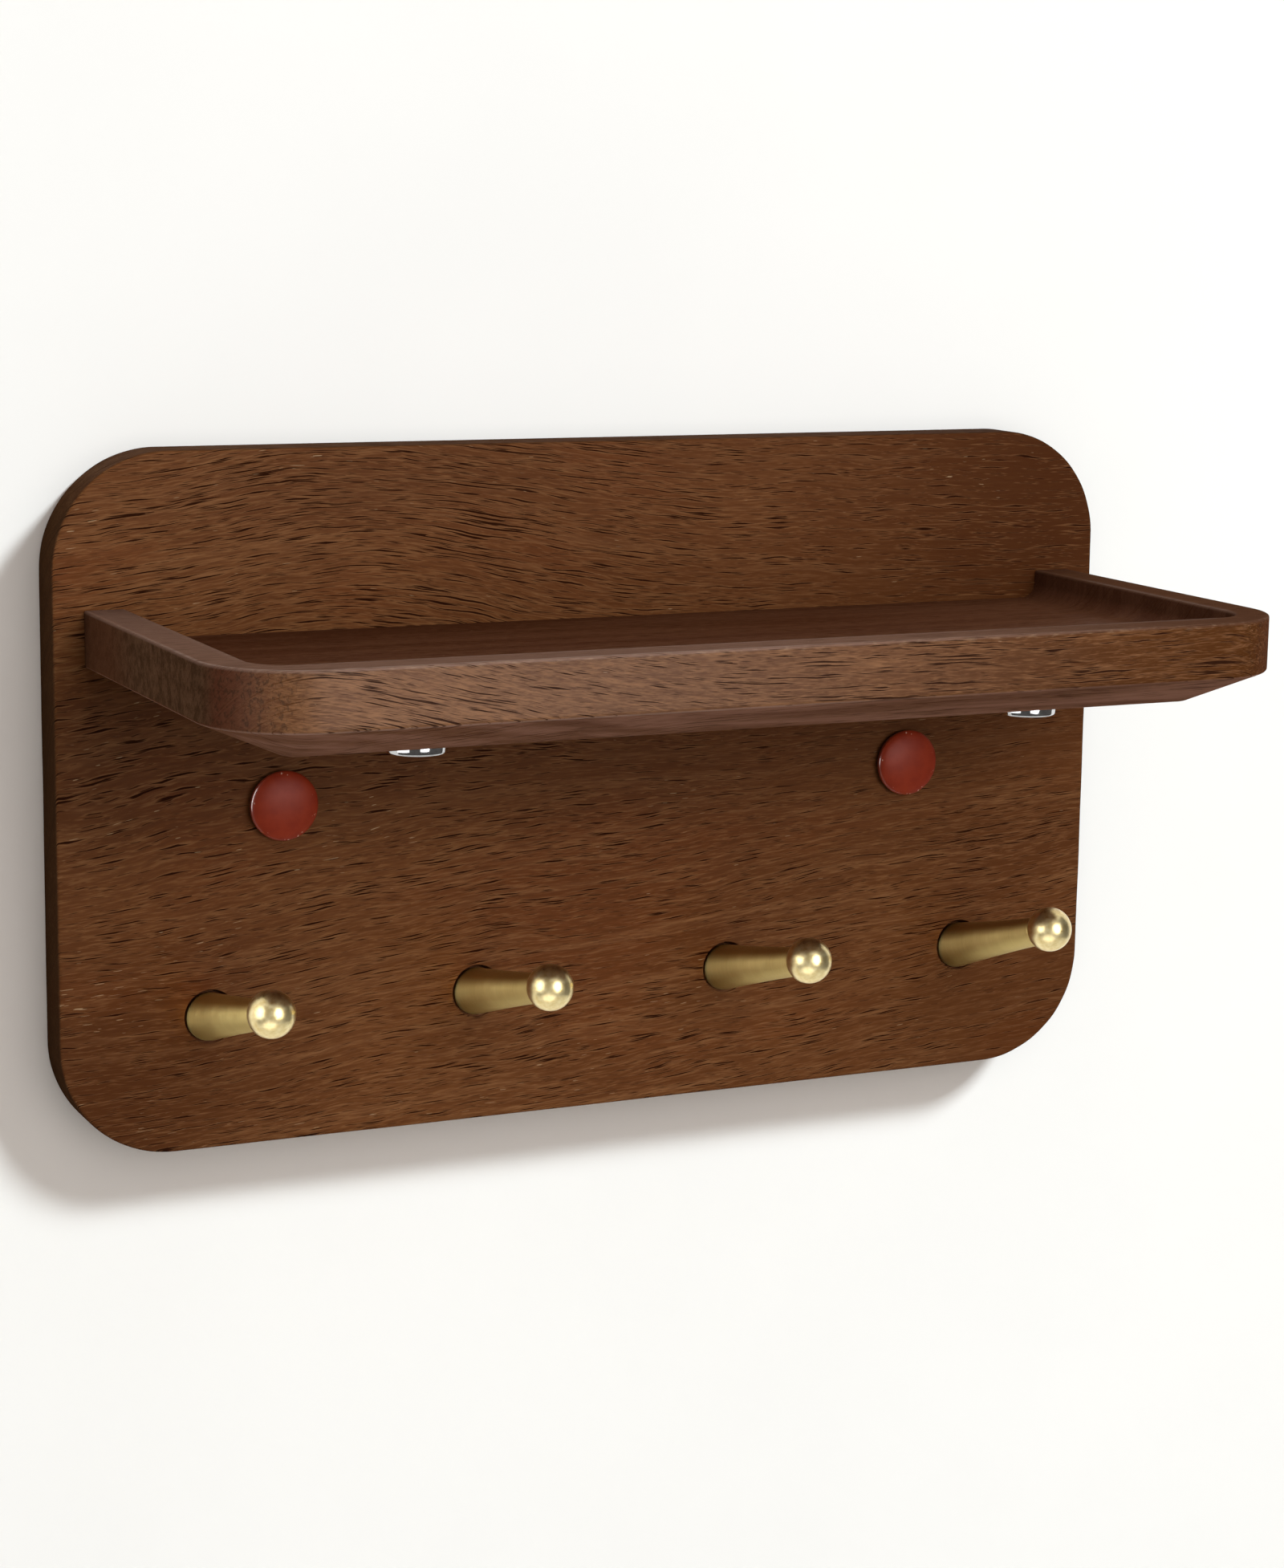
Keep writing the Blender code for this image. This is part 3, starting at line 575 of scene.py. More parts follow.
def trayMaterial(box):
    s = trayWood
    material, start = newMaterial("oiledTray")
    point = objectPoint(start)
    x, y, z = point.parts()
    flow = fibres(point, s)
    sideways, _, upright = facing(start)
    noises = {**noisesOf(flow, s["noises"]), **noisesOf(point, s["plainNoises"])}
    streak, fibre, fuzz = noises["streak"], noises["fibre"], noises["fuzz"]
    sources = {**noises, "x": x, "y": y, "z": z, "fromTop": z - box[1].z, "downward": 0 - upright,
               "sideways": abs(sideways), "inside": insideOutline(x, y, box, traySet["corner"])}
    m = easedMasks(sources, s["masks"])
    m.hollow = m.within * m.raised
    longFront = m.outerFace * (1 - m.endFace)
    # pores and flecks are quieter off the upright face
    quiet = 0.0
    for name, share in s["quiet"].items():
        quiet = (getattr(m, name) * share).atLeast(quiet)
    quiet = 1 - quiet
    # lip is the pale halo round each pore, a painted highlight
    pore, lip = pores(flow, s, m.longZone, zoneSum(x, z, s["bold"]) + s["boldness"])
    m.lip, m.quietPore = lip * quiet, pore * quiet
    # a pale fuzzy line along the front's top edge: partly rubbed wear, partly painted highlight
    edge = longFront * m.topEdge * m.edgeFuzz
    m.bright = m.fleck * quiet * s["fleckShare"] + edge * s["edgeWearAndHighlight"]
    # dust with a painted sheen, strongest at the left end, and pale grain keep to the outer face, pits to its
    # rounded corners
    m.dust = m.outerFace * m.dustRun * (m.fuzz * 0.6 + 0.4)
    m.paleGrain, m.paleFibre = m.paleGrain * m.outerFace, m.paleFibre * m.outerFace
    m.pits = m.pits * m.turning * m.offFlat * m.outerFace
    # the downward chamfer is lifted to a paler tone: painted light from below
    m.chamfer = m.below * (m.underStreak * 0.52 + 0.42)
    # tones that vary: end grain, darker partly as painted shade, reddish at the rear and where it turns;
    # floor of the hollow, paler towards the right as a painted sheen; and rim, paler over the left half's
    # front and at the left end as a painted sheen
    endTone = m.mottle.tint(s["endDark"], s["endGrainAndShade"])
    endTone = (m.rear * s["redShare"]).tint(endTone, s["endRed"])
    endTone = (m.blush * s["blushShare"]).tint(endTone, s["blush"])
    floorTone = m.floorStreak * 0.55 + m.floorFibre * 0.20 + m.floorRun * 0.36
    rimTone = m.rimRun * m.rimDepth.atLeast(m.rimEnd) * (fibre * 0.4 + 0.78)
    tones = {**s, "endTone": endTone, "floorTone": floorTone.tint(s["floor"], s["floorPale"]),
             "rimTone": rimTone.tint(s["rim"], s["rimSheen"])}
    colour = layered(m.patch.tint(s["deep"], s["middle"]), m, tones)
    rough = pore * s["poreRough"] + (streak - 0.5) * s["streakRough"]
    rough = rough + m.hollow * s["hollowRough"] + s["roughness"]
    sheen = (longFront * (m.sheenRun * 0.75 + 0.04)).atLeast(m.hollow * s["hollowSheen"])
    sheen = sheen * (1 - pore * 0.8) * (fibre * 0.6 + 0.65)
    height = fuzz * quiet * 0.4 + fibre * 0.3 + streak * 0.2 - m.quietPore - m.pits * s["pitDepth"]
    closeMaterial(start, {"Base Color": colour, "Roughness": rough, "Coat Weight": sheen,
                          "Normal": height.bump(**oilBump), **oilFinish})
    return material


# Backboard

boardSet = dict(
    corner=0.030, ease=0.0009, easeSway=0.28, cornerSteps=28, runSteps=26, arcSteps=5,
    backWaves=(7, 16, 31), backSeed=3, frontWaves=(5, 13, 37), frontSeed=8,
)


def boardRings(box):
    # the edge profile carried round the rounded rectangle: flat back, quarter round, side, quarter round and
    # flat front; the quarter rounds' radius sways along the outline as hand sanding leaves it
    s = boardSet
    low, high = box
    outline, outward = roundedOutline(high.x, high.z, s["corner"], s["cornerSteps"], s["runSteps"])
    share = np.linspace(0, 1, len(outline), endpoint=False)
    turn = quarterTurn(s["arcSteps"])[:, None]
    backEase = s["ease"] * (1 + s["easeSway"] * ripple(share, s["backWaves"], s["backSeed"]))
    frontEase = s["ease"] * (1 + s["easeSway"] * ripple(share, s["frontWaves"], s["frontSeed"]))
    inset = np.vstack([backEase * (1 - np.sin(turn)), frontEase * (1 - np.cos(turn))])
    depth = np.vstack([high.y - backEase * (1 - np.cos(turn)), low.y + frontEase * (1 - np.sin(turn))])
    flat = outline[None] - inset[..., None] * outward[None]
    body = np.stack([flat[..., 0], depth, flat[..., 1]], axis=-1)
    return closedRings(body, (0, high.y, 0), (0, low.y, 0))


# Shelf tray

traySet = dict(
    corner=0.024, face=0.014, chamferRun=0.0205, wall=0.0105, innerCorner=0.009,
    floorDrop=0.0075, cove=0.004, ease=0.0006, edge=0.0007, land=0.004, overcut=0.002,
    cornerSteps=30, runSteps=40, coveSteps=8, flareSteps=4,
)


def carriedRings(profile, outline, outward, box):
    # an (inset, height) profile carried round a level outline and closed by a pole at each end
    flat = outline[None] - profile[:, 0][:, None, None] * outward[None]
    body = np.dstack([flat, np.broadcast_to(profile[:, 1][:, None], flat.shape[:2])])
    middle = (box[0].y + box[1].y) / 2
    return closedRings(body, (0, middle, profile[0, 1]), (0, middle, profile[-1, 1]))


def trayRings(box):
    # flat bottom, chamfer, upright face and eased rim
    s = traySet
    low, high = box
    outline, outward = trayOutline(high.x, high.y, low.y, s["corner"], s["cornerSteps"], s["runSteps"])
    profile = softProfile([
        (s["chamferRun"] + s["land"], low.z, 0), (s["chamferRun"], low.z, s["edge"]),
        (0, high.z - s["face"], s["edge"]), (0, high.z, s["ease"]), (s["land"], high.z, 0)])
    return carriedRings(profile, outline, outward, box)


def hollowRings(box):
    # the routed hollow: flat floor, quarter-round cove, upright wall and a small flare at the rim
    s = traySet
    low, high = box
    half, rear, front = high.x - s["wall"], high.y + s["overcut"], low.y + s["wall"]
    outline, outward = trayOutline(half, rear, front, s["innerCorner"], s["cornerSteps"], s["runSteps"])
    floor = high.z - s["floorDrop"]
    turn = quarterTurn(s["coveSteps"])
    cove = np.stack([s["cove"] * (1 - np.sin(turn)), floor + s["cove"] * (1 - np.cos(turn))], axis=-1)
    turn = quarterTurn(s["flareSteps"])
    flare = np.stack([s["ease"] * (np.cos(turn) - 1), high.z - s["ease"] * (1 - np.sin(turn))], axis=-1)
    profile = np.vstack([cove, flare, [(-s["ease"], high.z + s["overcut"])]])
    return carriedRings(profile, outline, outward, box)


# Pegs

pegSet = dict(
    tilts=(14.0, 14.0, 14.5, 17.0), height=0.035, neck=0.0039, base=0.0062, recess=0.0069,
    setIn=0.0006, gap=0.0003, bore=0.0023, edge=0.0005, neckEdge=0.0004, flare=1.35,
    reach=0.050, ball=0.0060, bite=0.0055, overcut=0.002,
    headRadius=0.0035, headHeight=0.0022, headSetback=0.0006,
    steps=72, holeSteps=64, rings=30, ballRings=36,
)
neckEnd = pegSet["reach"] - math.sqrt(pegSet["ball"] ** 2 - pegSet["neck"] ** 2)


def shankProfile(recessFloor):
    # outside: radius = neck + (base - neck) (1 - share)^flare along the axis; inside: the bolt's bore
    s = pegSet
    foot, top = recessFloor + s["gap"], neckEnd - s["gap"]
    share = np.linspace(0, 1, s["rings"])
    flare = np.stack([s["neck"] + (s["base"] - s["neck"]) * (1 - share) ** s["flare"],
                      share * (top - s["edge"])], axis=-1)
    footEnd = softProfile([(s["bore"], foot, 0), (s["base"], foot, s["edge"]), (s["base"], 0, 0)])[:-1]
    neckTop = softProfile([(s["neck"], top - s["edge"], 0), (s["neck"], top, s["neckEdge"]),
                           (s["bore"], top, 0)])[1:]
    return np.vstack([footEnd, flare, neckTop])


def ballProfile():
    # a circle about the ball's middle from the flat on the neck to the tip, and the blind hole for the bolt
    s = pegSet
    flat = math.asin((neckEnd - s["reach"]) / s["ball"])
    turn = np.linspace(flat, math.pi / 2, s["ballRings"])
    globe = np.stack([s["ball"] * np.cos(turn), s["reach"] + s["ball"] * np.sin(turn)], axis=-1)
    globe[-1, 0] = 0.0
    holeEnd = neckEnd + s["bite"] + s["gap"]
    return np.vstack([[(0, holeEnd), (s["bore"], holeEnd), (s["bore"], neckEnd)], globe])


def pegHole(recessFloor, tilt, thickness):
    # the stepped hole in the board: bolt head's counterbore, bolt's bore and the tilted recess
    s = pegSet
    slope = math.tan(tilt)
    back = -thickness / math.cos(tilt)
    seat = back + s["headRadius"] * slope + s["headSetback"] + s["headHeight"] + s["gap"]
    wide = s["headRadius"] + s["gap"]
    behind, ahead = back - wide * slope - s["overcut"], s["recess"] * slope + s["overcut"]
    return [(0, behind), (wide, behind), (wide, seat), (s["bore"], seat), (s["bore"], recessFloor),
            (s["recess"], recessFloor), (s["recess"], ahead), (0, ahead)]


brassLook = dict(
    brushedDark=(0.72, 0.56, 0.205, 1), brushedPale=(0.90, 0.74, 0.310, 1), brushedRough=0.36,
    lines=((90, 90, 12000), 2.0, (0, 0, 0), 0.6), wide=((90, 90, 1100), 2.0, (4, 0, 2)),
    blot=((160, 160, 110), 2.0, (1, 5, 0)), brushedBump=(1.0, 0.00005),
    # the dark tone painted on upward faces as a reflection, the painted shade tone, and the run along the
    # shank over which that shade grows towards the base
    paintedDarkReflection=(0.250, 0.110, 0.020, 1), shaded=(0.42, 0.29, 0.085, 1), baseRun=(0.024, 0.002),
    ballDeep=(0.73, 0.55, 0.230, 1), ballPale=(0.92, 0.78, 0.440, 1), ballRough=0.31,
    dents=((620, 620, 620), 2.0), spots=((1500, 1500, 1500), 3.0, (2, 1, 0)),
    swirl=((300, 300, 700), 3.0, (5, 2, 8), 0.65), ballBump=(0.06, 0.0003),
)


def brushedBrass():
    s = brassLook
    material, start = newMaterial("brushedBrass")
    spot = turnedSpot(start)
    lines = spot.noise(*s["lines"])
    wide = spot.noise(*s["wide"])
    blot = spot.noise(*s["blot"])
    colour = (lines * 0.5 + wide * 0.2 + blot * 0.3).ease(0.25, 0.75)
    colour = colour.tint(s["brushedDark"], s["brushedPale"])
    upright = facing(start)[2]
    along = spot.parts()[2]
    # painted shade on downward faces and towards the base, then a painted dark reflection of the tray's
    # underside on upward faces
    shade = upright.ease(-0.05, -0.85) * 0.42 + along.ease(*s["baseRun"]) * 0.40
    colour = shade.atMost(0.7).tint(colour, s["shaded"])
    colour = (upright.ease(0.15, 0.75) * 0.95).tint(colour, s["paintedDarkReflection"])
    rough = (lines - 0.5) * 0.08 + (blot - 0.5) * 0.08 + s["brushedRough"]
    closeMaterial(start, {"Base Color": colour, "Metallic": 1.0, "Roughness": rough,
                          "Normal": (lines + wide * 0.05).bump(*s["brushedBump"])})
    return material


def polishedBrass():
    s = brassLook
    material, start = newMaterial("polishedBrass")
    spot = turnedSpot(start)
    dents = spot.noise(*s["dents"])
    spots = spot.noise(*s["spots"])
    colour = (dents * 0.8 + spots * 0.2).ease(0.22, 0.72).tint(s["ballDeep"], s["ballPale"])
    upright = facing(start)[2]
    swirl = spot.noise(*s["swirl"])
    # upward faces of the ball take a mottled painted dark reflection
    colour = (upright.ease(0.45, 0.95) * swirl.ease(0.40, 0.64) * 0.4).tint(colour, s["paintedDarkReflection"])
    rough = (spots - 0.5) * 0.06 + (dents - 0.5) * 0.12 + s["ballRough"]
    closeMaterial(start, {"Base Color": colour, "Metallic": 1.0, "Roughness": rough,
                          "Normal": (dents * 0.8 + spots * 0.05).bump(*s["ballBump"])})
    return material


# Screw caps

capSet = dict(
    radius=0.0091, foot=0.0080, rim=0.0018, dome=0.0022, plug=0.0047, plugLength=0.0055,
    plugChamfer=0.0006, plugRoot=0.0001, gap=0.0003, boreDepth=0.0085, screwHole=0.0026,
    overcut=0.002, steps=96, holeSteps=64, edgeSteps=11, domeSteps=21,
    paint=(0.245, 0.0275, 0.0085, 1), paintDeep=(0.190, 0.017, 0.0050, 1),
    chip=(0.66, 0.42, 0.32, 1), roughness=0.40, bump=(0.35, 0.00006),
    cloud=((260, 260, 260), 3.0), grainy=((2600, 2600, 2600), 2.0),
    chips=((900, 900, 900), 2.0, (7, 2, 0)), chipSpan=(0.69, 0.72),
    rimShare=(0.80, 0.97), glazeShare=(0.93, 0.985),        # parts of the radius
)


def capProfile():
    # plug, undercut edge foot + (radius - foot) sin t up to the widest line, then the dome radius cos t,
    # dome sin t
    s = capSet
    widest = s["gap"] + s["rim"]
    plug = softProfile([(0, -s["plugLength"], 0), (s["plug"], -s["plugLength"], s["plugChamfer"]),
                        (s["plug"], s["gap"], s["plugRoot"]), (s["foot"], s["gap"], 0)])
    turn = quarterTurn(s["edgeSteps"])[1:]
    edge = np.stack([s["foot"] + (s["radius"] - s["foot"]) * np.sin(turn),
                     widest - s["rim"] * np.cos(turn)], axis=-1)
    turn = quarterTurn(s["domeSteps"])[1:]
    dome = np.stack([s["radius"] * np.cos(turn), widest + s["dome"] * np.sin(turn)], axis=-1)
    dome[-1, 0] = 0.0
    return np.vstack([plug, edge, dome])


def capHole(thickness):
    # the wall screw's stepped hole under the cap
    s = capSet
    bore, behind = s["plug"] + s["gap"], -thickness - s["overcut"]
    return [(0, behind), (s["screwHole"], behind), (s["screwHole"], -s["boreDepth"]), (bore, -s["boreDepth"]),
            (bore, s["overcut"]), (0, s["overcut"])]


def capPaint():
    s = capSet
    material, start = newMaterial("brickRedPaint")
    spot = turnedSpot(start)
    x, y, _ = spot.parts()
    part = (x * x + y * y) ** 0.5 / s["radius"]        # of the cap's radius
    cloud, grainy = spot.noise(*s["cloud"]), spot.noise(*s["grainy"])
    rimZone = part.ease(*s["rimShare"])
    colour = (cloud.ease(0.35, 0.7) * 0.6 + rimZone * 0.25).tint(s["paint"], s["paintDeep"])
    worn = spot.noise(*s["chips"]).ease(*s["chipSpan"]) * rimZone
    colour = worn.tint(colour, s["chip"])
    rough = (cloud - 0.5) * 0.18 + (grainy - 0.5) * 0.12 + s["roughness"]
    closeMaterial(start, {"Base Color": colour, "Roughness": rough, "Specular IOR Level": 0.12,
                          "Coat Weight": part.ease(*s["glazeShare"]), "Coat Roughness": 0.16, "Coat IOR": 1.5,
                          "Normal": (grainy * 0.3 - worn).bump(*s["bump"])})
    return material


# Cup magnets

magnetSet = dict(
    radius=0.0074, skin=0.0009, ringHeight=0.0019, lip=0.0003, edge=0.0005, hole=0.0018,
    shoulder=0.0024, draft=0.00006, topEdge=0.00025, shoulderEdge=0.0003, innerEdge=0.00015,
    gap=0.0003, pilotDepth=0.0103, overcut=0.002, steps=72, pilotSteps=32,
)


def cupProfile():
    # a shallow steel cup, mouth down, whose side draws in a little below its shoulder and ends in a rounded
    # lip; closed round the screw's hole
    s = magnetSet
    inside = s["radius"] - s["skin"]
    floor = s["gap"] + s["skin"]
    mouth = floor + s["gap"] + s["ringHeight"] + s["lip"]
    return softProfile([
        (s["hole"], s["gap"], 0), (s["radius"], s["gap"], s["topEdge"]),
        (s["radius"], s["shoulder"], s["shoulderEdge"]), (s["radius"] - s["draft"], mouth, s["edge"]),
        (inside, mouth, s["innerEdge"]), (inside, floor, s["innerEdge"]), (s["hole"], floor, 0)])


def pilotHole():
    radius, floor, ahead = magnetSet["hole"], -magnetSet["pilotDepth"], magnetSet["overcut"]
    return [(0, floor), (radius, floor), (radius, ahead), (0, ahead)]


metalLook = dict(
    cloud=((420, 420, 420), 3.0), lines=((300, 5200, 5200), 2.0, (3, 1, 0), 0.6), span=(0.30, 0.66),
    shade=0.72, cloudRough=0.14, lineDepth=0.00002,
)
# tone, roughness and scratches
metalTones = dict(
    chrome=((0.66, 0.66, 0.67), 0.07, 0.05), nickel=((0.55, 0.53, 0.50), 0.22, 0.12),
    steel=((0.44, 0.44, 0.45), 0.34, 0.22),
)


def bareMetal(name, tone, roughness, scratch):
    # plated metal with faint clouding and fine scratches
    s = metalLook
    material, start = newMaterial(name)
    point = objectPoint(start)
    cloud, lines = point.noise(*s["cloud"]), point.noise(*s["lines"])
    dark = tuple(c * s["shade"] for c in tone) + (1,)
    colour = (cloud * 0.6 + lines * 0.4).ease(*s["span"]).tint(dark, (*tone, 1))
    rough = (cloud - 0.5) * s["cloudRough"] + (lines - 0.5) * scratch + roughness
    closeMaterial(start, {"Base Color": colour, "Metallic": 1.0, "Roughness": rough,
                          "Normal": lines.bump(scratch, s["lineDepth"])})
    return material


dowelLook = dict(line=((900, 60, 900), 3.0), dark=(0.42, 0.27, 0.14, 1), pale=(0.60, 0.43, 0.26, 1),
             roughness=0.6, bump=(0.3, 0.0001))


def paleDowel():
    material, start = newMaterial("paleDowel")
    line = objectPoint(start).noise(*dowelLook["line"])
    colour = line.ease(0.3, 0.7).tint(dowelLook["dark"], dowelLook["pale"])
    closeMaterial(start, {"Base Color": colour, "Roughness": line * 0.2 + dowelLook["roughness"],
                          "Normal": line.bump(*dowelLook["bump"])})
    return material


# Screws and dowels between board and tray

joinerySet = dict(
    screwRadius=0.0023, headRadius=0.0043, headLand=0.0007, headHeight=0.0029, setback=0.0006,
    screwBite=0.026, behind=0.0026, dowelRadius=0.0033, dowelWeb=0.0042, dowelInTray=0.0156,
    holeSteps=40,
)


def shelfScrewHole(thickness):
    s = joinerySet
    length = thickness + s["screwBite"]
    return [(0, -s["behind"]), (s["headRadius"], -s["behind"]), (s["headRadius"], s["headLand"]),
            (s["screwRadius"], s["headHeight"]), (s["screwRadius"], length), (0, length)]


def dowelHole(thickness):
    s = joinerySet
    back = s["dowelWeb"] - thickness
    return [(0, back), (s["dowelRadius"], back), (s["dowelRadius"], s["dowelInTray"]), (0, s["dowelInTray"])]


def middleOf(node):
    low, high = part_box(node)
    return (low + high) / 2


# Building

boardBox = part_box("backboard")
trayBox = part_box("shelf_tray")
thickness = boardBox[1].y - boardBox[0].y
face = boardBox[0].y
sides = ("left", "right")
pegHeight = boardBox[0].z + pegSet["height"]
capHeight = middleOf("screw_cap_left").z

brushed, polished = brushedBrass(), polishedBrass()
boardCuts, trayCuts = [], [gridMesh("hollow", hollowRings(trayBox))]
for number, degrees in enumerate(pegSet["tilts"], start=1):
    tilt = math.radians(degrees)
    recessFloor = -pegSet["recess"] * math.tan(tilt) - pegSet["setIn"]
    seat = (middleOf(f"peg_ball_{number}").x, face, pegHeight)
    boardCuts.append(drilled(pegHole(recessFloor, tilt, thickness), pegSet["holeSteps"], seat, tilt))
    shank = shankProfile(recessFloor)
    piece = turnedPiece(f"shank_brushed_{number}", shank, pegSet["steps"], seat, tilt, loop=True)
    dress(piece, brushed, "holder", "brushed_brass", f"peg_shank_{number}")
    piece = turnedPiece(f"ball_polished_{number}", ballProfile(), pegSet["steps"], seat, tilt)
    dress(piece, polished, "holder", "polished_brass", f"peg_ball_{number}")
print("pegs: made", len(pegSet["tilts"]))

paint = capPaint()
chromePlate = bareMetal("chromePlate", *metalTones["chrome"])
for side in sides:
    seat = (middleOf(f"screw_cap_{side}").x, face, capHeight)
    boardCuts.append(drilled(capHole(thickness), capSet["holeSteps"], seat))
    piece = turnedPiece(f"cap_painted_{side}", capProfile(), capSet["steps"], seat)
    dress(piece, paint, f"cap_{side}", "red_cap", f"screw_cap_{side}")
    middle = middleOf(f"magnet_cup_{side}")
    under = (middle.x, middle.y, trayBox[0].z)
    piece = turnedPiece(f"cup_chromed_{side}", cupProfile(), magnetSet["steps"], under, down=True, loop=True)
    dress(piece, chromePlate, "holder", "chrome", f"magnet_cup_{side}")
    trayCuts.append(drilled(pilotHole(), magnetSet["pilotSteps"], under, down=True))
    dowel = middleOf(f"shelf_dowel_{side}")
    for cuts in (boardCuts, trayCuts):
        cuts.append(drilled(dowelHole(thickness), joinerySet["holeSteps"], (dowel.x, face, dowel.z)))
for place in ("left", "middle", "right"):
    screw = middleOf(f"shelf_screw_{place}")
    spot = (screw.x, -joinerySet["setback"], screw.z)
    for cuts in (boardCuts, trayCuts):
        cuts.append(drilled(shelfScrewHole(thickness), joinerySet["holeSteps"], spot))
print("caps and magnets: made", len(sides), "of each")

board = cutAway(newPiece("backboard_sanded", gridMesh("board", boardRings(boardBox))), boardCuts)
dress(board, boardMaterial(), "holder", "board_wood", "backboard")
tray = cutAway(newPiece("tray_routed", gridMesh("tray", trayRings(trayBox))), trayCuts)
dress(tray, trayMaterial(trayBox), "holder", "tray_wood", "shelf_tray")
print("wood: board", len(board.data.polygons), "faces, tray", len(tray.data.polygons), "faces")

# CAD nodes that stay get their own finish
nickel = bareMetal("nickelRing", *metalTones["nickel"])
steel = bareMetal("screwSteel", *metalTones["steel"])
keptFinishes = {"magnet_ring": nickel, "magnet_screw": steel, "peg_bolt": steel, "shelf_screw": steel,
                "shelf_dowel": paleDowel()}
for name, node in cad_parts.items():
    for start, finish in keptFinishes.items():
        if name.startswith(start):
            paintAll(node, finish)


# Wall, floor, lights and camera

stageSet = dict(
    wallReach=14.0, wallStep=1.6, wallGap=0.0004, holeInset=0.001, cornerSteps=12, runSteps=6,
    floorHeight=-1.2, floorReach=9.0, floorSteps=8, floorGlow=0.42,
    paint=(0.90, 0.90, 0.875, 1), paintShade=0.985, paintCloud=((9, 9, 9), 3.0),
    curtainRadius=2.2, curtainTop=2.2, curtainTurn=115, curtainSteps=46,
    curtainTone=(0.10, 0.095, 0.09, 1),
)


def stagePaint(name, seeThroughBehind, glow=0.0):
    # matt off-white paint with faint clouds; the wall lets a look from behind pass, and the floor is lifted
    # by a glow that only the camera and mirrored or transmitted rays see
    material, start = newMaterial(name)
    cloud = objectPoint(start).noise(*stageSet["paintCloud"])
    dim = tuple(c * stageSet["paintShade"] for c in stageSet["paint"][:3]) + (1,)
    colour = cloud.ease(0.35, 0.65).tint(dim, stageSet["paint"])
    shader = start.add("BsdfDiffuse", None, {"Color": colour})
    if glow:
        path = start.add("LightPath", None, None, "Is Camera Ray")
        seen = path.atLeast(path.other("Is Glossy Ray")).atLeast(path.other("Is Transmission Ray"))
        lifted = start.add("Emission", None, {"Color": stageSet["paint"], "Strength": seen * glow})
        shader = start.add("AddShader", None, {0: shader, 1: lifted})
    if seeThroughBehind:
        behind = start.add("NewGeometry", None, None, "Backfacing")
        clear = start.add("BsdfTransparent")
        shader = start.add("MixShader", None, {0: behind, 1: shader, 2: clear})
    start.add("OutputMaterial", None, {"Surface": shader})
    return material


def stagePlane(name, rings, material, wrap=True):
    # neighbouring rings of an open surface joined by quads
    count = rings.shape[1]
    index = np.arange(rings.shape[0] * count).reshape(rings.shape[:2])
    lower, upper = index[:-1], index[1:]
    quads = np.stack([lower, upper, np.roll(upper, -1, axis=1), np.roll(lower, -1, axis=1)], axis=-1)
    quads = quads if wrap else quads[:, :-1]
    mesh = bpy.data.meshes.new(name)
    mesh.from_pydata(rings.reshape(-1, 3).tolist(), [], quads.reshape(-1, 4).tolist())
    mesh.materials.append(material)
    mesh.update()
    thing = newObject(name, mesh)
    return thing


def makeStage():
    s = stageSet
    # the wall is a flat ring round the board's outline, so that the board's back stays open to view
    back = boardBox[1]
    outline, outward = roundedOutline(back.x, back.z, boardSet["corner"], s["cornerSteps"], s["runSteps"])
    inner = outline - s["holeInset"] * outward
    flat = inner[None] * np.array([1.0, s["wallStep"], s["wallReach"]])[:, None, None]
    rings = np.stack([flat[..., 0], np.full(flat.shape[:2], back.y + s["wallGap"]), flat[..., 1]], axis=-1)
    wall = stagePlane("wall", rings, stagePaint("wallPaint", True))
    if wall.data.polygons[0].normal.y > 0:
        wall.data.flip_normals()
    line = np.linspace(-s["floorReach"], s["floorReach"], s["floorSteps"] + 1)
    across, along = np.meshgrid(line, line)
    floorRings = np.stack([across, along, np.full(across.shape, s["floorHeight"])], axis=-1)
    floor = stagePlane("floor", floorRings, stagePaint("floorPaint", False, s["floorGlow"]), False)
    # a dark half-round curtain of faint glow that only polished metal sees, a painted dark reflection of the
    # room; radius (sin t, -cos t) from the floor up
    turn = np.radians(np.linspace(-s["curtainTurn"], s["curtainTurn"], s["curtainSteps"] + 1))
    level = np.array([s["floorHeight"], s["curtainTop"]])[:, None]
    curtainX, curtainY = s["curtainRadius"] * np.sin(turn), -s["curtainRadius"] * np.cos(turn)
    curtainRings = np.stack(np.broadcast_arrays(curtainX, curtainY, level), axis=-1)
    curtainCloth, start = newMaterial("curtainCloth")
    dark = start.add("Emission", None, {"Color": s["curtainTone"], "Strength": 1.0})
    start.add("OutputMaterial", None, {"Surface": dark})
    curtain = stagePlane("curtain", curtainRings, curtainCloth, False)
    curtain.visible_camera = curtain.visible_diffuse = curtain.visible_shadow = False
    curtain.visible_transmission = False
    return receivers("wallReceivers", [wall]), [wall, floor, curtain]


def receivers(name, things):
    group = bpy.data.collections.new(name)
    for thing in things:
        group.objects.link(thing)
    return group


def bearing(azimuth, elevation):
    # (sin a cos e, -cos a cos e, sin e)
    a, e = math.radians(azimuth), math.radians(elevation)
    return Vector((math.sin(a) * math.cos(e), -math.cos(a) * math.cos(e), math.sin(e)))


def softbox(name, azimuth, elevation, distance, size, radiance, lit, shape="RECTANGLE"):
    # an area lamp at that bearing from lampAim; power = radiance * pi * area; it lights lit alone
    away = bearing(azimuth, elevation)
    light = bpy.data.lights.new(name, "AREA")
    light.shape = shape
    light.size, light.size_y = size
    light.energy = radiance * math.pi * size[0] * size[1] * (math.pi / 4 if shape == "ELLIPSE" else 1)
    lamp = newObject(name, light)
    lamp.location = lampAim + away * distance
    lamp.rotation_euler = away.to_track_quat("Z", "Y").to_euler()
    lamp.visible_camera = False
    lamp.light_linking.receiver_collection = lit
    return lamp


lampAim = Vector((0, -0.04, 0))
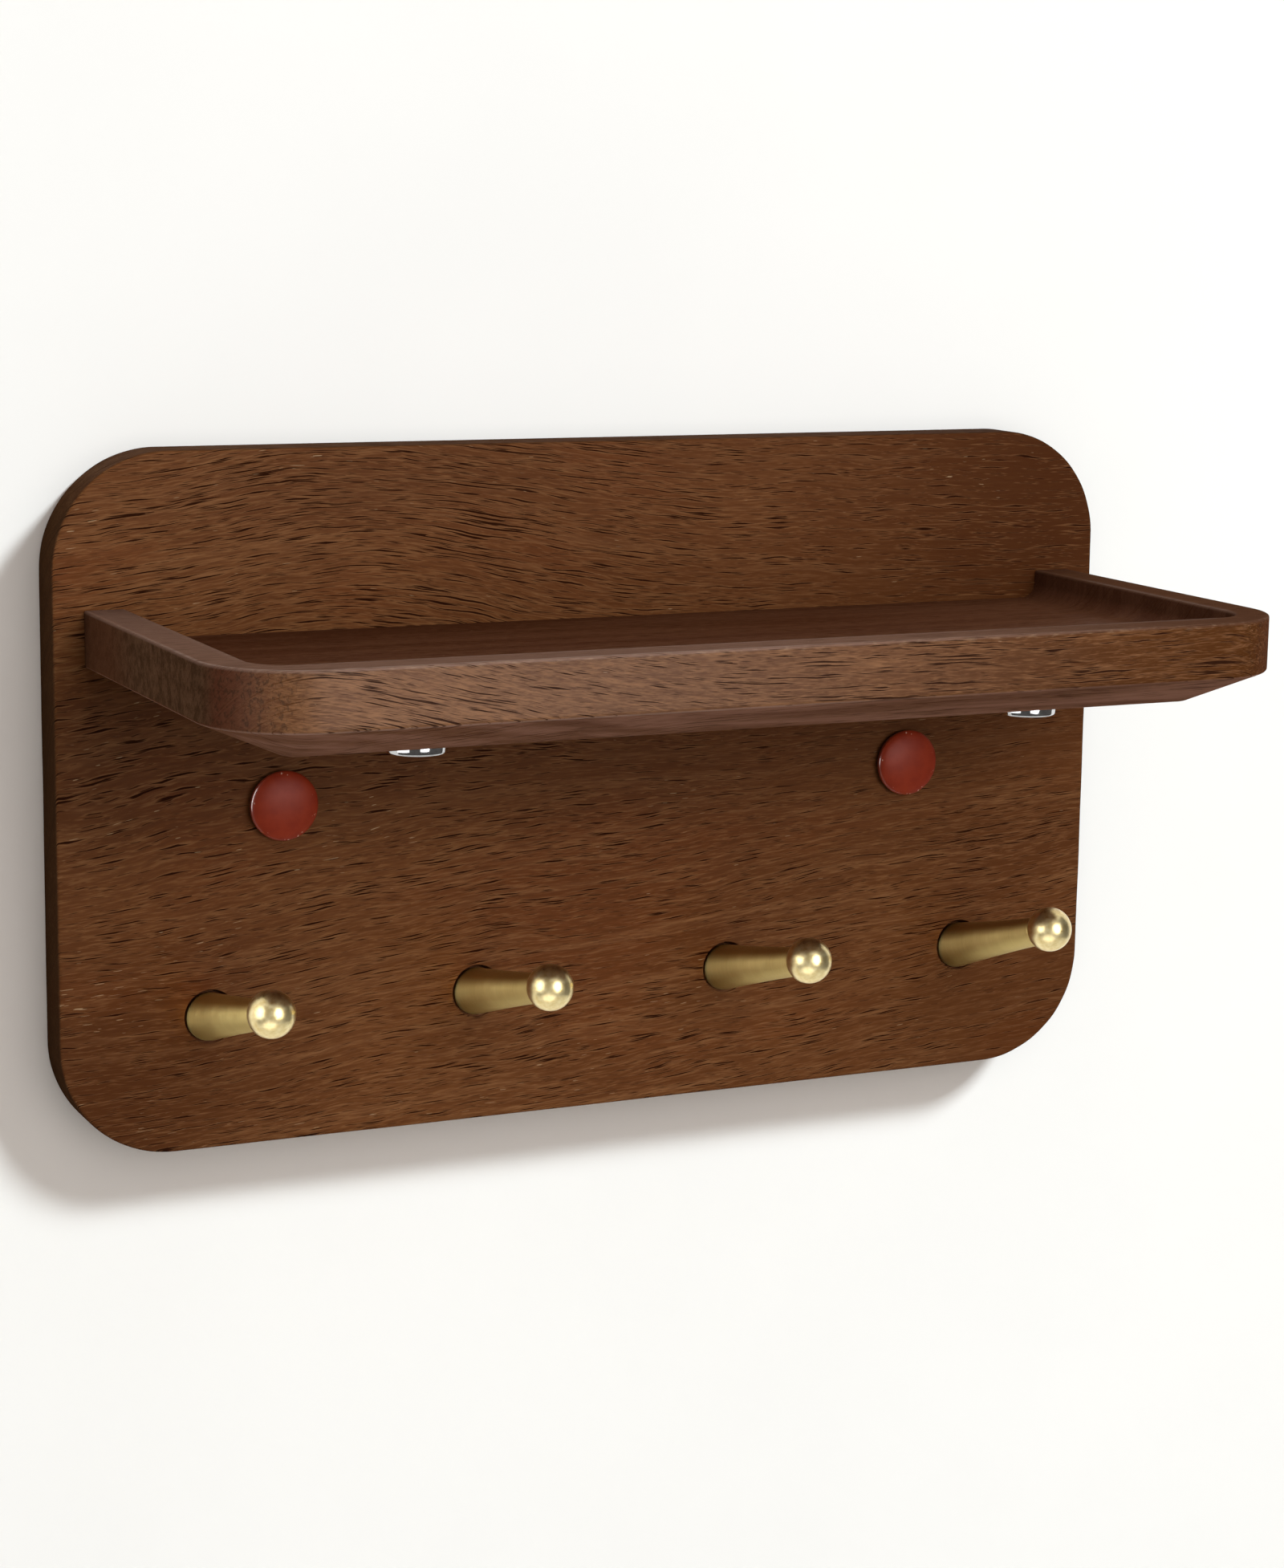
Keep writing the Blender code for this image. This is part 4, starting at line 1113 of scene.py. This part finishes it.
# every lamp: azimuth, elevation, distance, size and radiance
# the broad lamps give the light, and of them only the one behind is mirrored
lampSet = {
    "rightLight": (10, 21, 1.25, (0.85, 1.20), 5.7),
    "leftLight": (-77, 14, 1.1, (0.70, 0.65), 0.7),
    "behindLight": (200, 30, 2.0, (1.6, 1.6), 2.2),
}
mirroredLamp = "behindLight"
# the glows are only mirrored: the first two by every surface, the others by the finish in their name
glowSet = {
    "rightGlow": (14, 12, 1.25, (0.80, 1.05), 5.0),
    "leftGlow": (-77, 12, 1.1, (0.75, 0.85), 3.2),
}
finishGlows = {
    "shankGlow": (-82, 12, 1.0, (1.0, 0.34), 51.0),
    "ballGlowRight": (14, 12, 1.25, (0.62, 0.62), 2.6),
    "ballGlowLeft": (-77, 12, 1.1, (0.55, 0.55), 3.6),
    "ballGlowFront": (-25, 10, 1.6, (3.0, 2.2), 0.25),
    "ballGlowBelow": (-30, -38, 1.3, (1.3, 0.9), 1.1),
    "capGlow": (-80, 8, 1.1, (0.25, 0.9), 14.0),
    "cupGlowLeft": (-75, -4, 1.1, (1.1, 0.34), 2.6),
    "cupGlowRight": (6, -4, 1.25, (0.72, 0.34), 2.6),
}
# the wall's own lamps, which only the board shades: the key casts its shadow, and the fill lifts it
wallLamps = {
    "wallKey": (52, 41, 7.0, (1.2, 1.2), 139.0),
    "wallFill": (0, 8, 2.5, (5.0, 5.0), 0.63),
}
wallTints = {"wallKey": (0.93, 1.0, 1.04), "wallFill": (1.11, 0.94, 0.85)}
worldSet = dict(ambient=(0.20, 0.20, 0.20, 1), shown=(0.93, 0.93, 0.92, 1))


def makeLights(stageGroup, stageThings):
    meshes = [thing for thing in bpy.context.scene.objects if thing.type == "MESH"]
    pieces = [thing for thing in meshes if thing not in stageThings]
    objectGroup = receivers("objectReceivers", pieces)
    for name, settings in lampSet.items():
        softbox(name, *settings, objectGroup).visible_glossy = name == mirroredLamp
    for name, settings in glowSet.items():
        softbox(name, *settings, objectGroup, "ELLIPSE").visible_diffuse = False
    for name, settings in finishGlows.items():
        finish = name.split("Glow")[0]
        group = receivers(f"{name}Receivers", [thing for thing in pieces if thing.name.startswith(finish)])
        shape = "ELLIPSE" if finish == "ball" else "RECTANGLE"
        softbox(name, *settings, group, shape).visible_diffuse = False
    for name, settings in wallLamps.items():
        lamp = softbox(name, *settings, stageGroup)
        lamp.light_linking.blocker_collection = receivers(f"{name}Blockers", [board])
        lamp.data.color = wallTints[name]
    world = bpy.data.worlds.new("studio")
    world.use_nodes = True
    world.node_tree.nodes.clear()
    start = Flow(world.node_tree, None)
    path = start.add("LightPath", None, None, "Is Camera Ray")
    shown = path.atLeast(path.other("Is Transmission Ray")).atLeast(path.other("Is Glossy Ray"))
    colour = shown.tint(worldSet["ambient"], worldSet["shown"])
    light = start.add("Background", None, {"Color": colour, "Strength": 1.0})
    start.add("OutputWorld", None, {"Surface": light})
    bpy.context.scene.world = world


cameraSet = dict(
    azimuth=-25.155, elevation=10.401, roll=0.847, target=(0.00222, -0.0305, 0.00139),
    distance=0.87521, focalPixels=4155.6, frameHeight=1954, sensor=36.0, clip=(0.01, 50),
)


def makeCamera():
    # back, right and up axes from the bearing, then turned by the roll about the line of sight
    s = cameraSet
    a, r = math.radians(s["azimuth"]), math.radians(s["roll"])
    back = bearing(s["azimuth"], s["elevation"])
    right = Vector((math.cos(a), math.sin(a), 0))
    up = back.cross(right)
    rolledRight = right * math.cos(r) + up * math.sin(r)
    rolledUp = up * math.cos(r) - right * math.sin(r)
    data = bpy.data.cameras.new("photoCamera")
    data.sensor_width = s["sensor"]
    data.lens = s["sensor"] * s["focalPixels"] / s["frameHeight"]
    data.clip_start, data.clip_end = s["clip"]
    camera = newObject("photoCamera", data)
    turn = Matrix((rolledRight, rolledUp, back)).transposed().to_4x4()
    camera.matrix_world = Matrix.Translation(Vector(s["target"]) + back * s["distance"]) @ turn
    bpy.context.scene.camera = camera


makeLights(*makeStage())
makeCamera()
bpy.context.scene.view_settings.view_transform = "Standard"
print("stage: wall, floor, lamps and camera set")
